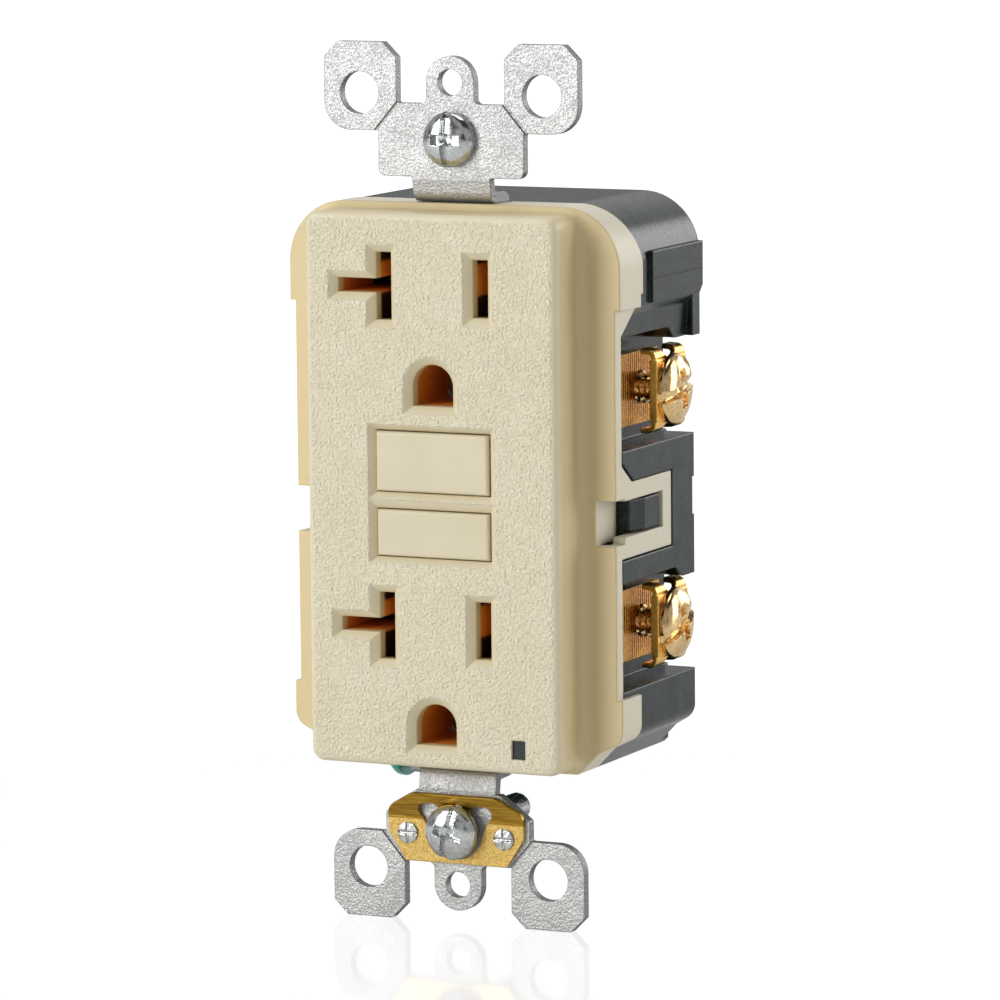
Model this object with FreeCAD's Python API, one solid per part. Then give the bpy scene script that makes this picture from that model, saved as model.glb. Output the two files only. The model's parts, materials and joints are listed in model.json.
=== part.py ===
import FreeCAD, Part
import math
import os

os.makedirs("parts", exist_ok=True)
V = FreeCAD.Vector

# A duplex wall socket with a built-in earth-leakage breaker, in millimetres.
# +Z is up, the face looks along -Y, and the origin is on the back of the mounting
# ears, midway between the two box screws.

# ---- Strap: pressed steel, standard hole places ----
SCREW_PITCH = 83.34        # box screws, centre to centre
PLATE_HOLE_PITCH = 96.84   # wall-plate screw holes, centre to centre
STRAP_LENGTH = 106.2       # over the mounting ears
STRAP_T = 1.3
EAR_OUT_X = 16.7
EAR_IN_X = 7.1
EAR_LOW_Z = 42.5
END_HALF_W = 9.55
END_NEAR_Z = 37.1
END_FAR_Z = 45.85
NECK_HALF_W = 5.1
TAB_HALF_W = 3.15
TAB_TOP_Z = 51.55
EAR_HOLE_X = 12.0
EAR_HOLE_Z = 47.0
EAR_HOLE_R = 2.55
PLATE_HOLE_R = 1.6
INNER_BACK_Y = 4.2         # back of the strap where it runs inside the body
INNER_HALF_W = 14.6
INNER_HALF_H = 31.4
GROUND_TAB_X = -9.0        # outer side of the tab that the ground screw threads into
GROUND_SCREW_Y = 7.0
GROUND_SCREW_Z = -32.7
GROUND_SHANK = 2.9
CLIP_T = 0.5               # brass clip riveted over the lower box screw's hole
CLIP_HALF_W = 9.0
CLIP_TILT = 16.0           # degrees that its upper half is bent back
RIVET_X = 6.4
RIVET_BELOW = 0.63         # rivets below the box screw's centre
RIVET_R = 0.9

# ---- Ivory front cover ----
FACE_Y = -7.72             # front of the raised face
FACE_HALF_W = 16.5
FACE_HALF_H = 33.2
FACE_ROUND = 1.0
FACE_COVE = 1.3
FACE_WALL = 2.0
FACE_SIDE_WALL = 1.6
FLANGE_Y = -1.0            # front of the flange
FLANGE_T = 1.8
FLANGE_HALF_W = 21.05      # beside the terminals
CORNER_HALF_W = 21.75      # at the four corners
BODY_TOP_Z = 34.0
BODY_BOTTOM_Z = -33.9
TOP_CORNER_R = 7.4
COVER_WALL = 1.8
UPPER_WALL_BACK_Y = 5.8    # how far back the cover wraps at the upper corners
LOWER_WALL_BACK_Y = 4.6    # and at the lower ones
UPPER_WALL_Z = 21.8
LOWER_WALL_Z = -24.7

# ---- Openings in the face ----
OUTLET_Z = (24.5, -16.3)   # height of the blade slots
SLOT_X = 6.35              # blade slots either side of the centre line
SLOT_BEVEL = 0.95
HOT_SLOT = (2.0, 6.9)      # width and height inside the bevel
NEUTRAL_SLOT = (2.0, 8.1)
ARM_END_X = 12.4           # far end of the sideways slot
ARM_HEIGHT = 1.7
GROUND_DROP = 11.84        # ground hole below the blade slots
GROUND_R = 2.65
GROUND_FLAT = 2.35         # flat bottom below the hole's centre
TOWER_WALL = 1.0
BUTTON_SLOPE_X = 0.8       # sloping sides of the recess round the keys
BUTTON_RECESS_Z = (-8.7, -1.0, 8.05)
BUTTON_GAP = 0.15
RESET_Z = (0.0, 7.15)
TEST_Z = (-7.8, -2.25)
BUTTON_HALF_W = 7.35
LENS_X = 11.2
LENS_Z = -30.2
LENS_SIZE = (1.7, 2.2)

# ---- Black rear housing ----
REAR_Y = 24.2
SIDE_REAR_Y = 22.2         # rear of the side blocks beside the centre
HOUSING_HALF_W = 21.1
HOUSING_WALL = 1.5
POCKET_FLOOR_X = 16.2      # bottom of the terminal pockets
POCKETS = ((4.9, 18.3), (-24.0, -10.9))
POST_TOP = (17.0, 28.3)
POST_LOW = (17.8, -26.0)
POST_R = 1.8
CASE_SCREW_R = 1.1
CASE_HEAD_R = 1.7
CASE_HEAD_H = 1.2
CASE_WELL = 2.0            # depth of the well that the head sits in

# ---- Terminals ----
TERMINAL_Y = 15.4
TERMINAL_Z = (11.0, -17.5)
TERMINAL_T = 0.9
TERMINAL_HALF_H = 4.4
TERMINAL_FRONT_Y = 7.6
CLAMP_X = 21.2             # outer face of the clamp plate, with the screw backed out
CLAMP_T = 0.95
CLAMP_HALF_H = 5.1
CLAMP_HALF_D = 4.4
CLAMP_DIP = 1.4            # depth of the dips in its turned-in edges
CLAMP_DIP_R = 2.4
SCREW_HEAD_R = 4.275
SCREW_HEAD_H = 1.85
TERMINAL_SCREW_R = 2.0
FIT = 0.05                 # radial clearance of a turning or sliding fit

# ---- Snap loops and catches on the sides ----
LOOP_Z = (-8.0, 1.0)
LOOP_WINDOW_Z = (-5.5, -1.1)
LOOP_END_Y = 15.4
LOOP_WINDOW_Y = 12.9
LOOP_OUT_X = 21.0
LOOP_T = 1.6
NOTCH_FLOOR_X = 18.4       # floor of the notch in the flange in front of each loop's window
NOTCH_BACK_Y = 5.0

# ---- Inside ----
TRAY_BACK_Y = 12.6         # back of the contact tray
TRAY_T = 1.2
TRAY_HALF_W = 14.6
TRAY_WALL = 1.0
RIB_X = 3.75               # ribs either side of the ground contacts
RIB_T = 0.6
SPRING_R = 2.2
SPRING_WIRE_R = 0.3
SPRING_TURNS = 4
SPRING_RUNS_PER_TURN = 14
CONTACT_T = 0.7
BOARD_Y = 21.2
BOARD_T = 1.2
BOARD_HALF_W = 14.4
CORE_Z = -22.5
CORE_R = 6.8
CORE_BORE_R = 3.7
CORE_T = 2.0
WINDING_T = 0.3
COIL_Y = 16.6
COIL_Z = (-13.4, -2.6)
COIL_R = 3.7
PIN_R = 1.2
RESET_X = 0.0
RESET_AXIS_Z = (RESET_Z[0] + RESET_Z[1]) / 2
ARM_X = 10.0
ARM_ROOT_Z = -12.0
ARM_CONTACT_Z = 6.0
ARM_TRAVEL = 1.5
LATCH_Y = 17.7
LATCH_T = 0.8
LATCH_TRAVEL = 1.2
LATCH_TAB_Z = (-1.4, -0.6)
PIN_TRAVEL = (0.7, 1.0)    # out when tripped, in when pressed
TEST_STEM_X = -6.0
TEST_ROOT_Z = -13.2
MOUNT_SCREW_R = 1.75
MOUNT_SCREW_LENGTH = 19.05
MOUNT_HEAD_R = 3.35
MOUNT_HEAD_H = 2.0
MOUNT_NECK_R = 1.7         # plain neck under the head, before the thread
LOWER_SCREW_PROUD = 1.3    # the lower box screw stands off its clip

# ---- Worked out from the sizes above ----
INNER_FRONT_Y = INNER_BACK_Y - STRAP_T
PARTING_Y = INNER_BACK_Y + FIT
FLANGE_BACK_Y = FLANGE_Y + FLANGE_T
GROUND_Z = tuple(z - GROUND_DROP for z in OUTLET_Z)
TRAY_FRONT_Y = TRAY_BACK_Y - TRAY_T
BUS_Y = TRAY_FRONT_Y - CONTACT_T
CAVITY_HALF_W = TRAY_HALF_W + 0.25
REAR_INNER_Y = REAR_Y - HOUSING_WALL
TEST_AXIS_Z = (TEST_Z[0] + TEST_Z[1]) / 2
LINE_BACK_Y = TERMINAL_Y + CLAMP_HALF_D + 0.6
LINE_FRONT_Y = TRAY_BACK_Y + 0.3
ARM_Y = TRAY_BACK_Y + 1.0
TEST_STRIP_Y = TRAY_BACK_Y + 0.5
SENSE_CORE_Y = LINE_FRONT_Y + CONTACT_T + FIT + WINDING_T
NEUTRAL_CORE_Y = SENSE_CORE_Y + CORE_T + 2 * WINDING_T + 0.3
SIDES = {"hot": 1, "neutral": -1}
STAGES = {"load": TERMINAL_Z[0], "line": TERMINAL_Z[1]}


# ---- Small shape helpers ----
def box(x0, x1, y0, y1, z0, z1):
    return Part.makeBox(x1 - x0, y1 - y0, z1 - z0, V(x0, y0, z0))


def rod(centre, radius, length, axis):
    return Part.makeCylinder(radius, length, V(*centre), V(*axis))


def fused(first, *others):
    return first.fuse(list(others)).removeSplitter()


def mirrored_x(shape):
    return shape.mirror(V(0, 0, 0), V(1, 0, 0))


def both_sides(shape):
    return shape.fuse(mirrored_x(shape))


def on_xz(y):
    return lambda a, b: V(a, y, b)


def on_yz(x):
    return lambda a, b: V(x, a, b)


def on_xy(z):
    return lambda a, b: V(a, b, z)


def corner_arc(before, corner, after, radius):
    """Start, middle and end of the arc that rounds a corner between two straight runs."""
    u = (corner - before).normalize()
    w = (after - corner).normalize()
    turn = u.getAngle(w)
    if radius <= 0 or turn < 1e-6:
        return None
    reach = radius * math.tan(turn / 2)
    start = corner - u * reach
    end = corner + w * reach
    inward = (w - u).normalize()
    centre = corner + inward * (radius / math.cos(turn / 2))
    return start, centre - inward * radius, end


def rounded_face(corners, place):
    """A face whose outline runs through (a, b, radius) corners, each rounded to its radius."""
    points = [place(a, b) for a, b, _ in corners]
    count = len(points)
    arcs = [
        corner_arc(points[i - 1], points[i], points[(i + 1) % count], corners[i][2])
        for i in range(count)
    ]
    edges = []
    for i in range(count):
        here, following = arcs[i], arcs[(i + 1) % count]
        leave = here[2] if here else points[i]
        arrive = following[0] if following else points[(i + 1) % count]
        if here:
            edges.append(Part.Arc(*here).toShape())
        if (arrive - leave).Length > 1e-6:
            edges.append(Part.makeLine(leave, arrive))
    return Part.Face(Part.Wire(edges))


def plate_y(corners, y0, y1):
    return rounded_face(corners, on_xz(y0)).extrude(V(0, y1 - y0, 0))


def prism_x(corners, x0, x1):
    return rounded_face(corners, on_yz(x0)).extrude(V(x1 - x0, 0, 0))


def prism_z(corners, z0, z1):
    return rounded_face(corners, on_xy(z0)).extrude(V(0, 0, z1 - z0))


def mirrored_corners(half):
    """A full outline from its right half, listed from the bottom up."""
    return half + [(-a, b, r) for a, b, r in reversed(half)]


def rectangle(a0, a1, b0, b1, radius=0.0):
    return [(a0, b0, radius), (a1, b0, radius), (a1, b1, radius), (a0, b1, radius)]


def ribbon(points, thickness, bend, place, sweep):
    """A bent strip: a centre line in one plane, given a thickness and swept sideways."""
    line = [V(a, b, 0) for a, b in points]
    sides = []
    for half in (thickness / 2, -thickness / 2):
        side = []
        for i, point in enumerate(line):
            u = (point - line[i - 1]).normalize() if i else None
            w = (line[i + 1] - point).normalize() if i < len(line) - 1 else None
            left_u = V(-u.y, u.x, 0) if u else None
            left_w = V(-w.y, w.x, 0) if w else None
            if u is None or w is None:
                side.append((point + (left_w or left_u) * half, 0.0))
                continue
            mitre = (left_u + left_w).normalize()
            reach = half / mitre.dot(left_u)
            turn = 1 if u.cross(w).z > 0 else -1
            side.append((point + mitre * reach, bend - turn * half))
        sides.append(side)
    outline = sides[0] + list(reversed(sides[1]))
    corners = [(p.x, p.y, r) for p, r in outline]
    return rounded_face(corners, place).extrude(V(*sweep))


def bevelled_cut(inner, bevel, depth_y):
    """A hole through the face: a sloping bevel at the front, then straight walls to depth_y."""
    outer = [(a + da * bevel, b + db * bevel, r) for a, b, r, da, db in inner]
    mouth = rounded_face(outer, on_xz(FACE_Y)).OuterWire
    throat = rounded_face([c[:3] for c in inner], on_xz(FACE_Y + bevel)).OuterWire
    slope = Part.makeLoft([mouth, throat], True, True)
    shaft = plate_y([c[:3] for c in inner], FACE_Y + bevel, depth_y)
    skin = rounded_face(outer, on_xz(FACE_Y)).extrude(V(0, -2, 0))
    return slope.fuse([shaft, skin])


def growing_rectangle(a0, a1, b0, b1, radius=0.0):
    return [(a0, b0, radius, -1, -1), (a1, b0, radius, 1, -1), (a1, b1, radius, 1, 1),
            (a0, b1, radius, -1, 1)]


# ---- Outlines of the body ----
def body_corners(half_w, top_z, bottom_z, inset=0.0):
    """Seen from the front: large round corners above, cut corners below."""
    lower = [(16.0 - inset / 2, bottom_z, 0.6), (18.6 - inset / 2, bottom_z + 2.7, 0.6),
             (half_w, bottom_z + 4.2, 2.2)]
    return mirrored_corners(lower + [(half_w, top_z, TOP_CORNER_R - inset)])


def body_blank(half_w, y0, y1, inset=0.0):
    corners = body_corners(half_w - inset, BODY_TOP_Z - inset, BODY_BOTTOM_Z + inset, inset)
    return plate_y(corners, y0, y1)


def front_region(half_x):
    """Everything in front of the line where the cover meets the housing, seen from the side."""
    corners = [
        (-20, -40, 0), (PARTING_Y, -40, 0), (PARTING_Y, BODY_BOTTOM_Z + 2.0, 0),
        (LOWER_WALL_BACK_Y, BODY_BOTTOM_Z + 5.0, 0.8), (LOWER_WALL_BACK_Y, LOWER_WALL_Z, 0),
        (FLANGE_BACK_Y, LOWER_WALL_Z, 0), (FLANGE_BACK_Y, UPPER_WALL_Z - 3.2, 0),
        (UPPER_WALL_BACK_Y - 0.6, UPPER_WALL_Z, 0), (UPPER_WALL_BACK_Y - 0.6, UPPER_WALL_Z + 1.5, 0),
        (UPPER_WALL_BACK_Y, UPPER_WALL_Z + 1.6, 0), (UPPER_WALL_BACK_Y, UPPER_WALL_Z + 5.6, 1.0),
        (PARTING_Y, BODY_TOP_Z - 0.5, 0), (PARTING_Y, 40, 0), (-20, 40, 0),
    ]
    return prism_x(corners, -half_x, half_x)


# ---- Front cover ----
def raised_face():
    block = box(-FACE_HALF_W, FACE_HALF_W, FACE_Y, FLANGE_Y, -FACE_HALF_H, FACE_HALF_H)
    uprights = [e for e in block.Edges if abs(e.BoundBox.YLength - (FLANGE_Y - FACE_Y)) < 0.01]
    block = block.makeFillet(1.6, uprights)
    front = [e for e in block.Edges if e.BoundBox.YMax < FACE_Y + 0.01]
    block = block.makeFillet(FACE_ROUND, front)
    wide = box(-30, 30, FLANGE_Y, FLANGE_BACK_Y, -45, 45)
    joined = block.fuse(wide).removeSplitter()
    foot = [e for e in joined.Edges
            if abs(e.BoundBox.YMin - FLANGE_Y) < 0.01 and e.BoundBox.YLength < 0.01
            and e.BoundBox.XMax < FACE_HALF_W + 0.1 and e.BoundBox.XMin > -FACE_HALF_W - 0.1]
    joined = joined.makeFillet(FACE_COVE, foot)
    return joined.common(body_blank(CORNER_HALF_W, FACE_Y - 1, FLANGE_BACK_Y))


def flange_sides():
    """The strips taken off the flange beside the terminals, where it is narrower."""
    edge = Part.makeBox(3, 8, UPPER_WALL_Z - LOWER_WALL_Z, V(FLANGE_HALF_W, FLANGE_Y - 2, LOWER_WALL_Z))
    return both_sides(edge)


def cover_walls():
    outer = body_blank(CORNER_HALF_W, FLANGE_BACK_Y, UPPER_WALL_BACK_Y + 1)
    inner = body_blank(CORNER_HALF_W, FLANGE_BACK_Y, UPPER_WALL_BACK_Y + 1, COVER_WALL)
    return outer.cut(inner).common(front_region(30))


def snap_loop():
    """The side loop that hooks over the housing's catch."""
    inner_x = LOOP_OUT_X - LOOP_T
    arm = box(inner_x, LOOP_OUT_X, FLANGE_BACK_Y, LOOP_END_Y, *LOOP_Z)
    gusset = prism_x([(FLANGE_BACK_Y, LOOP_Z[1], 0), (FLANGE_BACK_Y + 3, LOOP_Z[1], 0),
                      (FLANGE_BACK_Y, LOOP_Z[1] + 2.2, 0)], inner_x, LOOP_OUT_X)
    window = box(inner_x - 1, LOOP_OUT_X + 1, FLANGE_BACK_Y - 5, LOOP_WINDOW_Y, *LOOP_WINDOW_Z)
    return fused(arm, gusset).cut(window)


def loop_notch():
    return both_sides(box(NOTCH_FLOOR_X, CORNER_HALF_W + 1, FLANGE_Y - 1, FLANGE_BACK_Y + 1,
                          LOOP_WINDOW_Z[0] - 0.8, LOOP_WINDOW_Z[1] + 0.3))


def notch_floor():
    """The tongue behind the flange that carries the notch's floor back to the catch."""
    return both_sides(box(NOTCH_FLOOR_X - 1.4, NOTCH_FLOOR_X, FLANGE_BACK_Y - 0.3, NOTCH_BACK_Y,
                          LOOP_WINDOW_Z[0] - 0.8, LOOP_WINDOW_Z[1] + 0.3))


def hot_slot(z):
    half_w, half_h = HOT_SLOT[0] / 2, HOT_SLOT[1] / 2
    return growing_rectangle(SLOT_X - half_w, SLOT_X + half_w, z - half_h, z + half_h)


def neutral_slot(z):
    """A slot turned on its side like a T, so that either blade position fits."""
    half_w, half_h, half_arm = NEUTRAL_SLOT[0] / 2, NEUTRAL_SLOT[1] / 2, ARM_HEIGHT / 2
    left, right = -SLOT_X - half_w, -SLOT_X + half_w
    return [(right, z - half_h, 0, 1, -1), (right, z + half_h, 0, 1, 1),
            (left, z + half_h, 0, -1, 1), (left, z + half_arm, 0, -1, 1),
            (-ARM_END_X, z + half_arm, 0, -1, 1), (-ARM_END_X, z - half_arm, 0, -1, -1),
            (left, z - half_arm, 0, -1, -1), (left, z - half_h, 0, -1, -1)]


def ground_cut(z, grow, y0, y1):
    """The ground hole: an arch over a flat foot."""
    radius = GROUND_R + grow
    foot = z - GROUND_FLAT - grow
    edges = [Part.makeLine(V(-radius, y0, foot), V(radius, y0, foot)),
             Part.makeLine(V(radius, y0, foot), V(radius, y0, z)),
             Part.Arc(V(radius, y0, z), V(0, y0, z + radius), V(-radius, y0, z)).toShape(),
             Part.makeLine(V(-radius, y0, z), V(-radius, y0, foot))]
    return Part.Face(Part.Wire(edges)).extrude(V(0, y1 - y0, 0))


def ground_mouth(z):
    """The sloping mouth of the ground hole."""
    outer = ground_cut(z, SLOT_BEVEL, FACE_Y, FACE_Y + 1)
    inner = ground_cut(z, 0.0, FACE_Y + SLOT_BEVEL, FACE_Y + SLOT_BEVEL + 1)
    front_wire = min(outer.Faces, key=lambda f: f.CenterOfMass.y).OuterWire
    back_wire = min(inner.Faces, key=lambda f: f.CenterOfMass.y).OuterWire
    slope = Part.makeLoft([front_wire, back_wire], True, True)
    return slope.fuse(ground_cut(z, SLOT_BEVEL, FACE_Y - 2, FACE_Y))


def slot_towers():
    """Walls that carry each hole from the face back to the strap."""
    towers = []
    floor_y = FACE_Y + FACE_WALL
    for z in OUTLET_Z:
        half_h = HOT_SLOT[1] / 2 + TOWER_WALL
        half_w = HOT_SLOT[0] / 2 + TOWER_WALL
        towers.append(box(SLOT_X - half_w, SLOT_X + half_w, floor_y, INNER_FRONT_Y - 0.2,
                          z - half_h, z + half_h))
        half_h = NEUTRAL_SLOT[1] / 2 + TOWER_WALL
        towers.append(box(-SLOT_X - half_w, -SLOT_X + half_w, floor_y, INNER_FRONT_Y - 0.2,
                          z - half_h, z + half_h))
        half_arm = ARM_HEIGHT / 2 + TOWER_WALL
        towers.append(box(-ARM_END_X - TOWER_WALL, -SLOT_X, floor_y, INNER_FRONT_Y - 0.2,
                          z - half_arm, z + half_arm))
    for z in GROUND_Z:
        towers.append(ground_cut(z, TOWER_WALL, floor_y, INNER_FRONT_Y))
    return towers


def button_window(z0, z1, recess):
    half_w = BUTTON_HALF_W + BUTTON_GAP
    half_recess = half_w + BUTTON_SLOPE_X
    mouth = rounded_face(rectangle(-half_recess, half_recess, *recess), on_xz(FACE_Y)).OuterWire
    throat_corners = rectangle(-half_w, half_w, z0 - BUTTON_GAP, z1 + BUTTON_GAP)
    throat = rounded_face(throat_corners, on_xz(FACE_Y + 0.9)).OuterWire
    slope = Part.makeLoft([mouth, throat], True, True)
    shaft = plate_y(throat_corners, FACE_Y + 0.9, FACE_Y + FACE_WALL + 3.0)
    skin = plate_y(rectangle(-half_recess, half_recess, *recess), FACE_Y - 1, FACE_Y)
    return slope.fuse([shaft, skin])


def case_posts():
    return [(sx * POST_TOP[0], POST_TOP[1]) for sx in (1, -1)] + \
           [(sx * POST_LOW[0], POST_LOW[1]) for sx in (1, -1)]


def post_front(z):
    return UPPER_WALL_BACK_Y if z > 0 else LOWER_WALL_BACK_Y


def face_cover():
    shape = fused(raised_face(), cover_walls()).cut(flange_sides())
    hollow = box(-FACE_HALF_W + FACE_SIDE_WALL, FACE_HALF_W - FACE_SIDE_WALL, FACE_Y + FACE_WALL,
                 FLANGE_BACK_Y + 1, -FACE_HALF_H + FACE_SIDE_WALL, FACE_HALF_H - FACE_SIDE_WALL)
    shape = shape.cut(hollow)
    loop = snap_loop()
    shape = shape.fuse([loop, mirrored_x(loop), notch_floor()] + slot_towers())
    button_well = box(-BUTTON_HALF_W - 1.2, BUTTON_HALF_W + 1.2, FACE_Y + FACE_WALL - 0.1,
                      FACE_Y + FACE_WALL + 1.6, TEST_Z[0] - 1.2, RESET_Z[1] + 1.2)
    shape = shape.fuse(button_well)
    for x, z in case_posts():
        shape = shape.fuse(rod((x, FLANGE_BACK_Y - 0.3, z), POST_R, post_front(z) - FLANGE_BACK_Y + 0.3,
                               (0, 1, 0)))
    cuts = [loop_notch()]
    for x, z in case_posts():
        cuts.append(rod((x, FLANGE_BACK_Y - 0.8, z), CASE_SCREW_R + 0.02, 10, (0, 1, 0)))
    for z in OUTLET_Z:
        cuts.append(bevelled_cut(hot_slot(z), SLOT_BEVEL, INNER_FRONT_Y))
        cuts.append(bevelled_cut(neutral_slot(z), SLOT_BEVEL, INNER_FRONT_Y))
    for z in GROUND_Z:
        cuts.append(ground_mouth(z))
        cuts.append(ground_cut(z, 0.0, FACE_Y, INNER_FRONT_Y + 1))
    cuts.append(button_window(*RESET_Z, BUTTON_RECESS_Z[1:]))
    cuts.append(button_window(*TEST_Z, BUTTON_RECESS_Z[:2]))
    half_x, half_z = LENS_SIZE[0] / 2 + FIT, LENS_SIZE[1] / 2 + FIT
    cuts.append(box(LENS_X - half_x, LENS_X + half_x, FACE_Y - 1, FACE_Y + FACE_WALL + 1,
                    LENS_Z - half_z, LENS_Z + half_z))
    neck = NECK_HALF_W + 0.4
    cuts.append(box(-neck, neck, INNER_FRONT_Y - 0.1, 10, BODY_TOP_Z - 3, BODY_TOP_Z + 1))
    cuts.append(box(-neck, neck, INNER_FRONT_Y - 0.1, 10, BODY_BOTTOM_Z - 1, BODY_BOTTOM_Z + 3))
    cuts.append(box(GROUND_TAB_X - 5, -neck, GROUND_SCREW_Y - SCREW_HEAD_R - 0.4, 10,
                    BODY_BOTTOM_Z - 1, BODY_BOTTOM_Z + 3))
    shape = shape.cut(cuts).removeSplitter()
    return largest(shape)


def largest(shape):
    return max(shape.Solids, key=lambda s: s.Volume)


# ---- Mounting strap ----
def strap_end(near_corner):
    """One end of the strap above its neck; near_corner is how its inner corners are cut."""
    half = [(NECK_HALF_W, END_NEAR_Z - 0.4, 0)] + near_corner + [
        (END_HALF_W, EAR_LOW_Z, 0.3), (EAR_OUT_X, EAR_LOW_Z, 3.5), (EAR_OUT_X, STRAP_LENGTH / 2 - 1.8, 0.3),
        (EAR_OUT_X - 1.8, STRAP_LENGTH / 2, 0.3), (EAR_IN_X + 1.8, STRAP_LENGTH / 2, 0.3),
        (EAR_IN_X, STRAP_LENGTH / 2 - 1.8, 0.3), (EAR_IN_X, END_FAR_Z, 0.3),
        (TAB_HALF_W, END_FAR_Z, 0.7), (TAB_HALF_W, TAB_TOP_Z, TAB_HALF_W - 0.02)]
    plate = plate_y(mirrored_corners(half), -STRAP_T, 0)
    holes = [rod((0, -STRAP_T - 1, SCREW_PITCH / 2), MOUNT_SCREW_R + FIT, STRAP_T + 2, (0, 1, 0)),
             rod((0, -STRAP_T - 1, PLATE_HOLE_PITCH / 2), PLATE_HOLE_R, STRAP_T + 2, (0, 1, 0))]
    for side in (1, -1):
        holes.append(rod((side * EAR_HOLE_X, -STRAP_T - 1, EAR_HOLE_Z), EAR_HOLE_R, STRAP_T + 2, (0, 1, 0)))
        score = Part.makeBox(8, 0.5, 0.35, V(-4, -STRAP_T - 0.25, -0.17))
        score.rotate(V(0, 0, 0), V(0, 1, 0), side * math.degrees(math.atan2(END_FAR_Z - EAR_LOW_Z, 2.9)))
        score.translate(V(side * (EAR_IN_X + END_HALF_W) / 2 + side * 0.15, 0, (END_FAR_Z + EAR_LOW_Z) / 2))
        holes.append(score)
    return plate.cut(holes)


def strap_neck():
    """The jog from the ear plane back into the body."""
    ear_mid = -STRAP_T / 2
    inner_mid = INNER_BACK_Y - STRAP_T / 2
    jog_z = BODY_TOP_Z + 0.1 + STRAP_T / 2
    points = [(ear_mid, END_NEAR_Z + 0.3), (ear_mid, END_NEAR_Z - 0.2), (ear_mid + 0.35, jog_z),
              (inner_mid, jog_z - 0.1), (inner_mid, INNER_HALF_H - 0.3)]
    return ribbon(points, STRAP_T, 0.85, on_yz(-NECK_HALF_W), (2 * NECK_HALF_W, 0, 0))


def strap_frame():
    """The part of the strap between cover and tray, with windows for blades and buttons."""
    plate = plate_y(rectangle(-INNER_HALF_W, INNER_HALF_W, -INNER_HALF_H, INNER_HALF_H, 1.5),
                    INNER_FRONT_Y, INNER_BACK_Y)
    y0, y1 = INNER_FRONT_Y - 1, INNER_BACK_Y + 1
    cuts = []
    for z in OUTLET_Z:
        cuts.append(plate_y(rectangle(3.9, 9.4, z - 5.6, z + 5.6, 0.8), y0, y1))
        cuts.append(plate_y(rectangle(-13.2, -3.9, z - 5.6, z + 5.6, 0.8), y0, y1))
    for z in GROUND_Z:
        cuts.append(rod((0, y0, z), 2.9, y1 - y0, (0, 1, 0)))
    cuts.append(plate_y(rectangle(-9.0, 9.0, TEST_Z[0] - 1.6, RESET_Z[1] + 1.2, 0.8), y0, y1))
    cuts.append(box(LENS_X - 1.3, LENS_X + 1.3, y0, y1, LENS_Z - 1.5, LENS_Z + 1.5))
    cuts.append(box(-20, GROUND_TAB_X, y0, y1, -40, GROUND_SCREW_Z + SCREW_HEAD_R + 0.4))
    return plate.cut(cuts)


def ground_tab():
    """The ear of the strap, bent back at the lower left, that takes the ground screw."""
    corners = [(INNER_FRONT_Y, GROUND_SCREW_Z + 3.8, 0), (INNER_FRONT_Y, -INNER_HALF_H, 0),
               (INNER_BACK_Y + 0.2, -INNER_HALF_H, 0), (INNER_BACK_Y + 0.2, GROUND_SCREW_Z - 3.5, 1.0),
               (GROUND_SCREW_Y + 4.3, GROUND_SCREW_Z - 3.5, 1.5),
               (GROUND_SCREW_Y + 4.3, GROUND_SCREW_Z + 3.8, 1.5)]
    tab = prism_x(corners, GROUND_TAB_X, GROUND_TAB_X + STRAP_T)
    hole = rod((GROUND_TAB_X - 1, GROUND_SCREW_Y, GROUND_SCREW_Z), TERMINAL_SCREW_R + FIT, STRAP_T + 2,
               (1, 0, 0))
    return tab.cut(hole)


def rivet_places():
    z = -SCREW_PITCH / 2 - RIVET_BELOW
    return ((RIVET_X, z), (-RIVET_X, z))


def mounting_strap():
    top = strap_end([(NECK_HALF_W, END_NEAR_Z, 0.3), (END_HALF_W, END_NEAR_Z, 1.0)])
    low = strap_end([(NECK_HALF_W, END_NEAR_Z, 0), (NECK_HALF_W + 0.5, END_NEAR_Z, 0.3),
                     (END_HALF_W, END_NEAR_Z + 2.9, 0.4)])
    neck = strap_neck()
    flip = [s.mirror(V(0, 0, 0), V(0, 0, 1)) for s in (low, neck)]
    shape = fused(top, neck, strap_frame(), ground_tab(), *flip)
    for x, z in rivet_places():
        shape = shape.cut(rod((x, -STRAP_T - 1, z), RIVET_R, STRAP_T + 2, (0, 1, 0)))
    return shape


# ---- Brass clip that grounds the lower box screw ----
def ground_clip():
    centre = -SCREW_PITCH / 2
    half = [(6.75, centre - 4.05, 0.2), (CLIP_HALF_W, centre - 0.5, 0.3), (CLIP_HALF_W, centre + 2.6, 1.6),
            (5.6, centre + 4.6, 2.4)]
    plate = plate_y(mirrored_corners(half), -STRAP_T - CLIP_T, -STRAP_T)
    y0, y1 = -STRAP_T - CLIP_T - 1, -STRAP_T + 1
    opening = rod((0, y0, centre), 3.5, y1 - y0, (0, 1, 0)).cut(
        box(-1.9, 1.9, y0 - 1, y1 + 1, centre + MOUNT_SCREW_R + 0.3, centre + 5))
    lobe = plate_y([(1.9, centre + 1.0, 0), (3.3, centre - 0.6, 0), (5.5, centre + 3.3, 0.9),
                    (2.2, centre + 3.5, 0.9)], y0, y1)
    plate = plate.cut([opening, lobe, mirrored_x(lobe)])
    for x, z in rivet_places():
        plate = plate.cut(rod((x, y0, z), RIVET_R, y1 - y0, (0, 1, 0)))
    bend_z = centre + 1.45
    lower = plate.common(box(-20, 20, y0, y1, -60, bend_z))
    upper = plate.common(box(-20, 20, y0, y1, bend_z, -30))
    upper.rotate(V(0, -STRAP_T, bend_z), V(1, 0, 0), CLIP_TILT)
    return fused(lower, upper)


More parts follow.
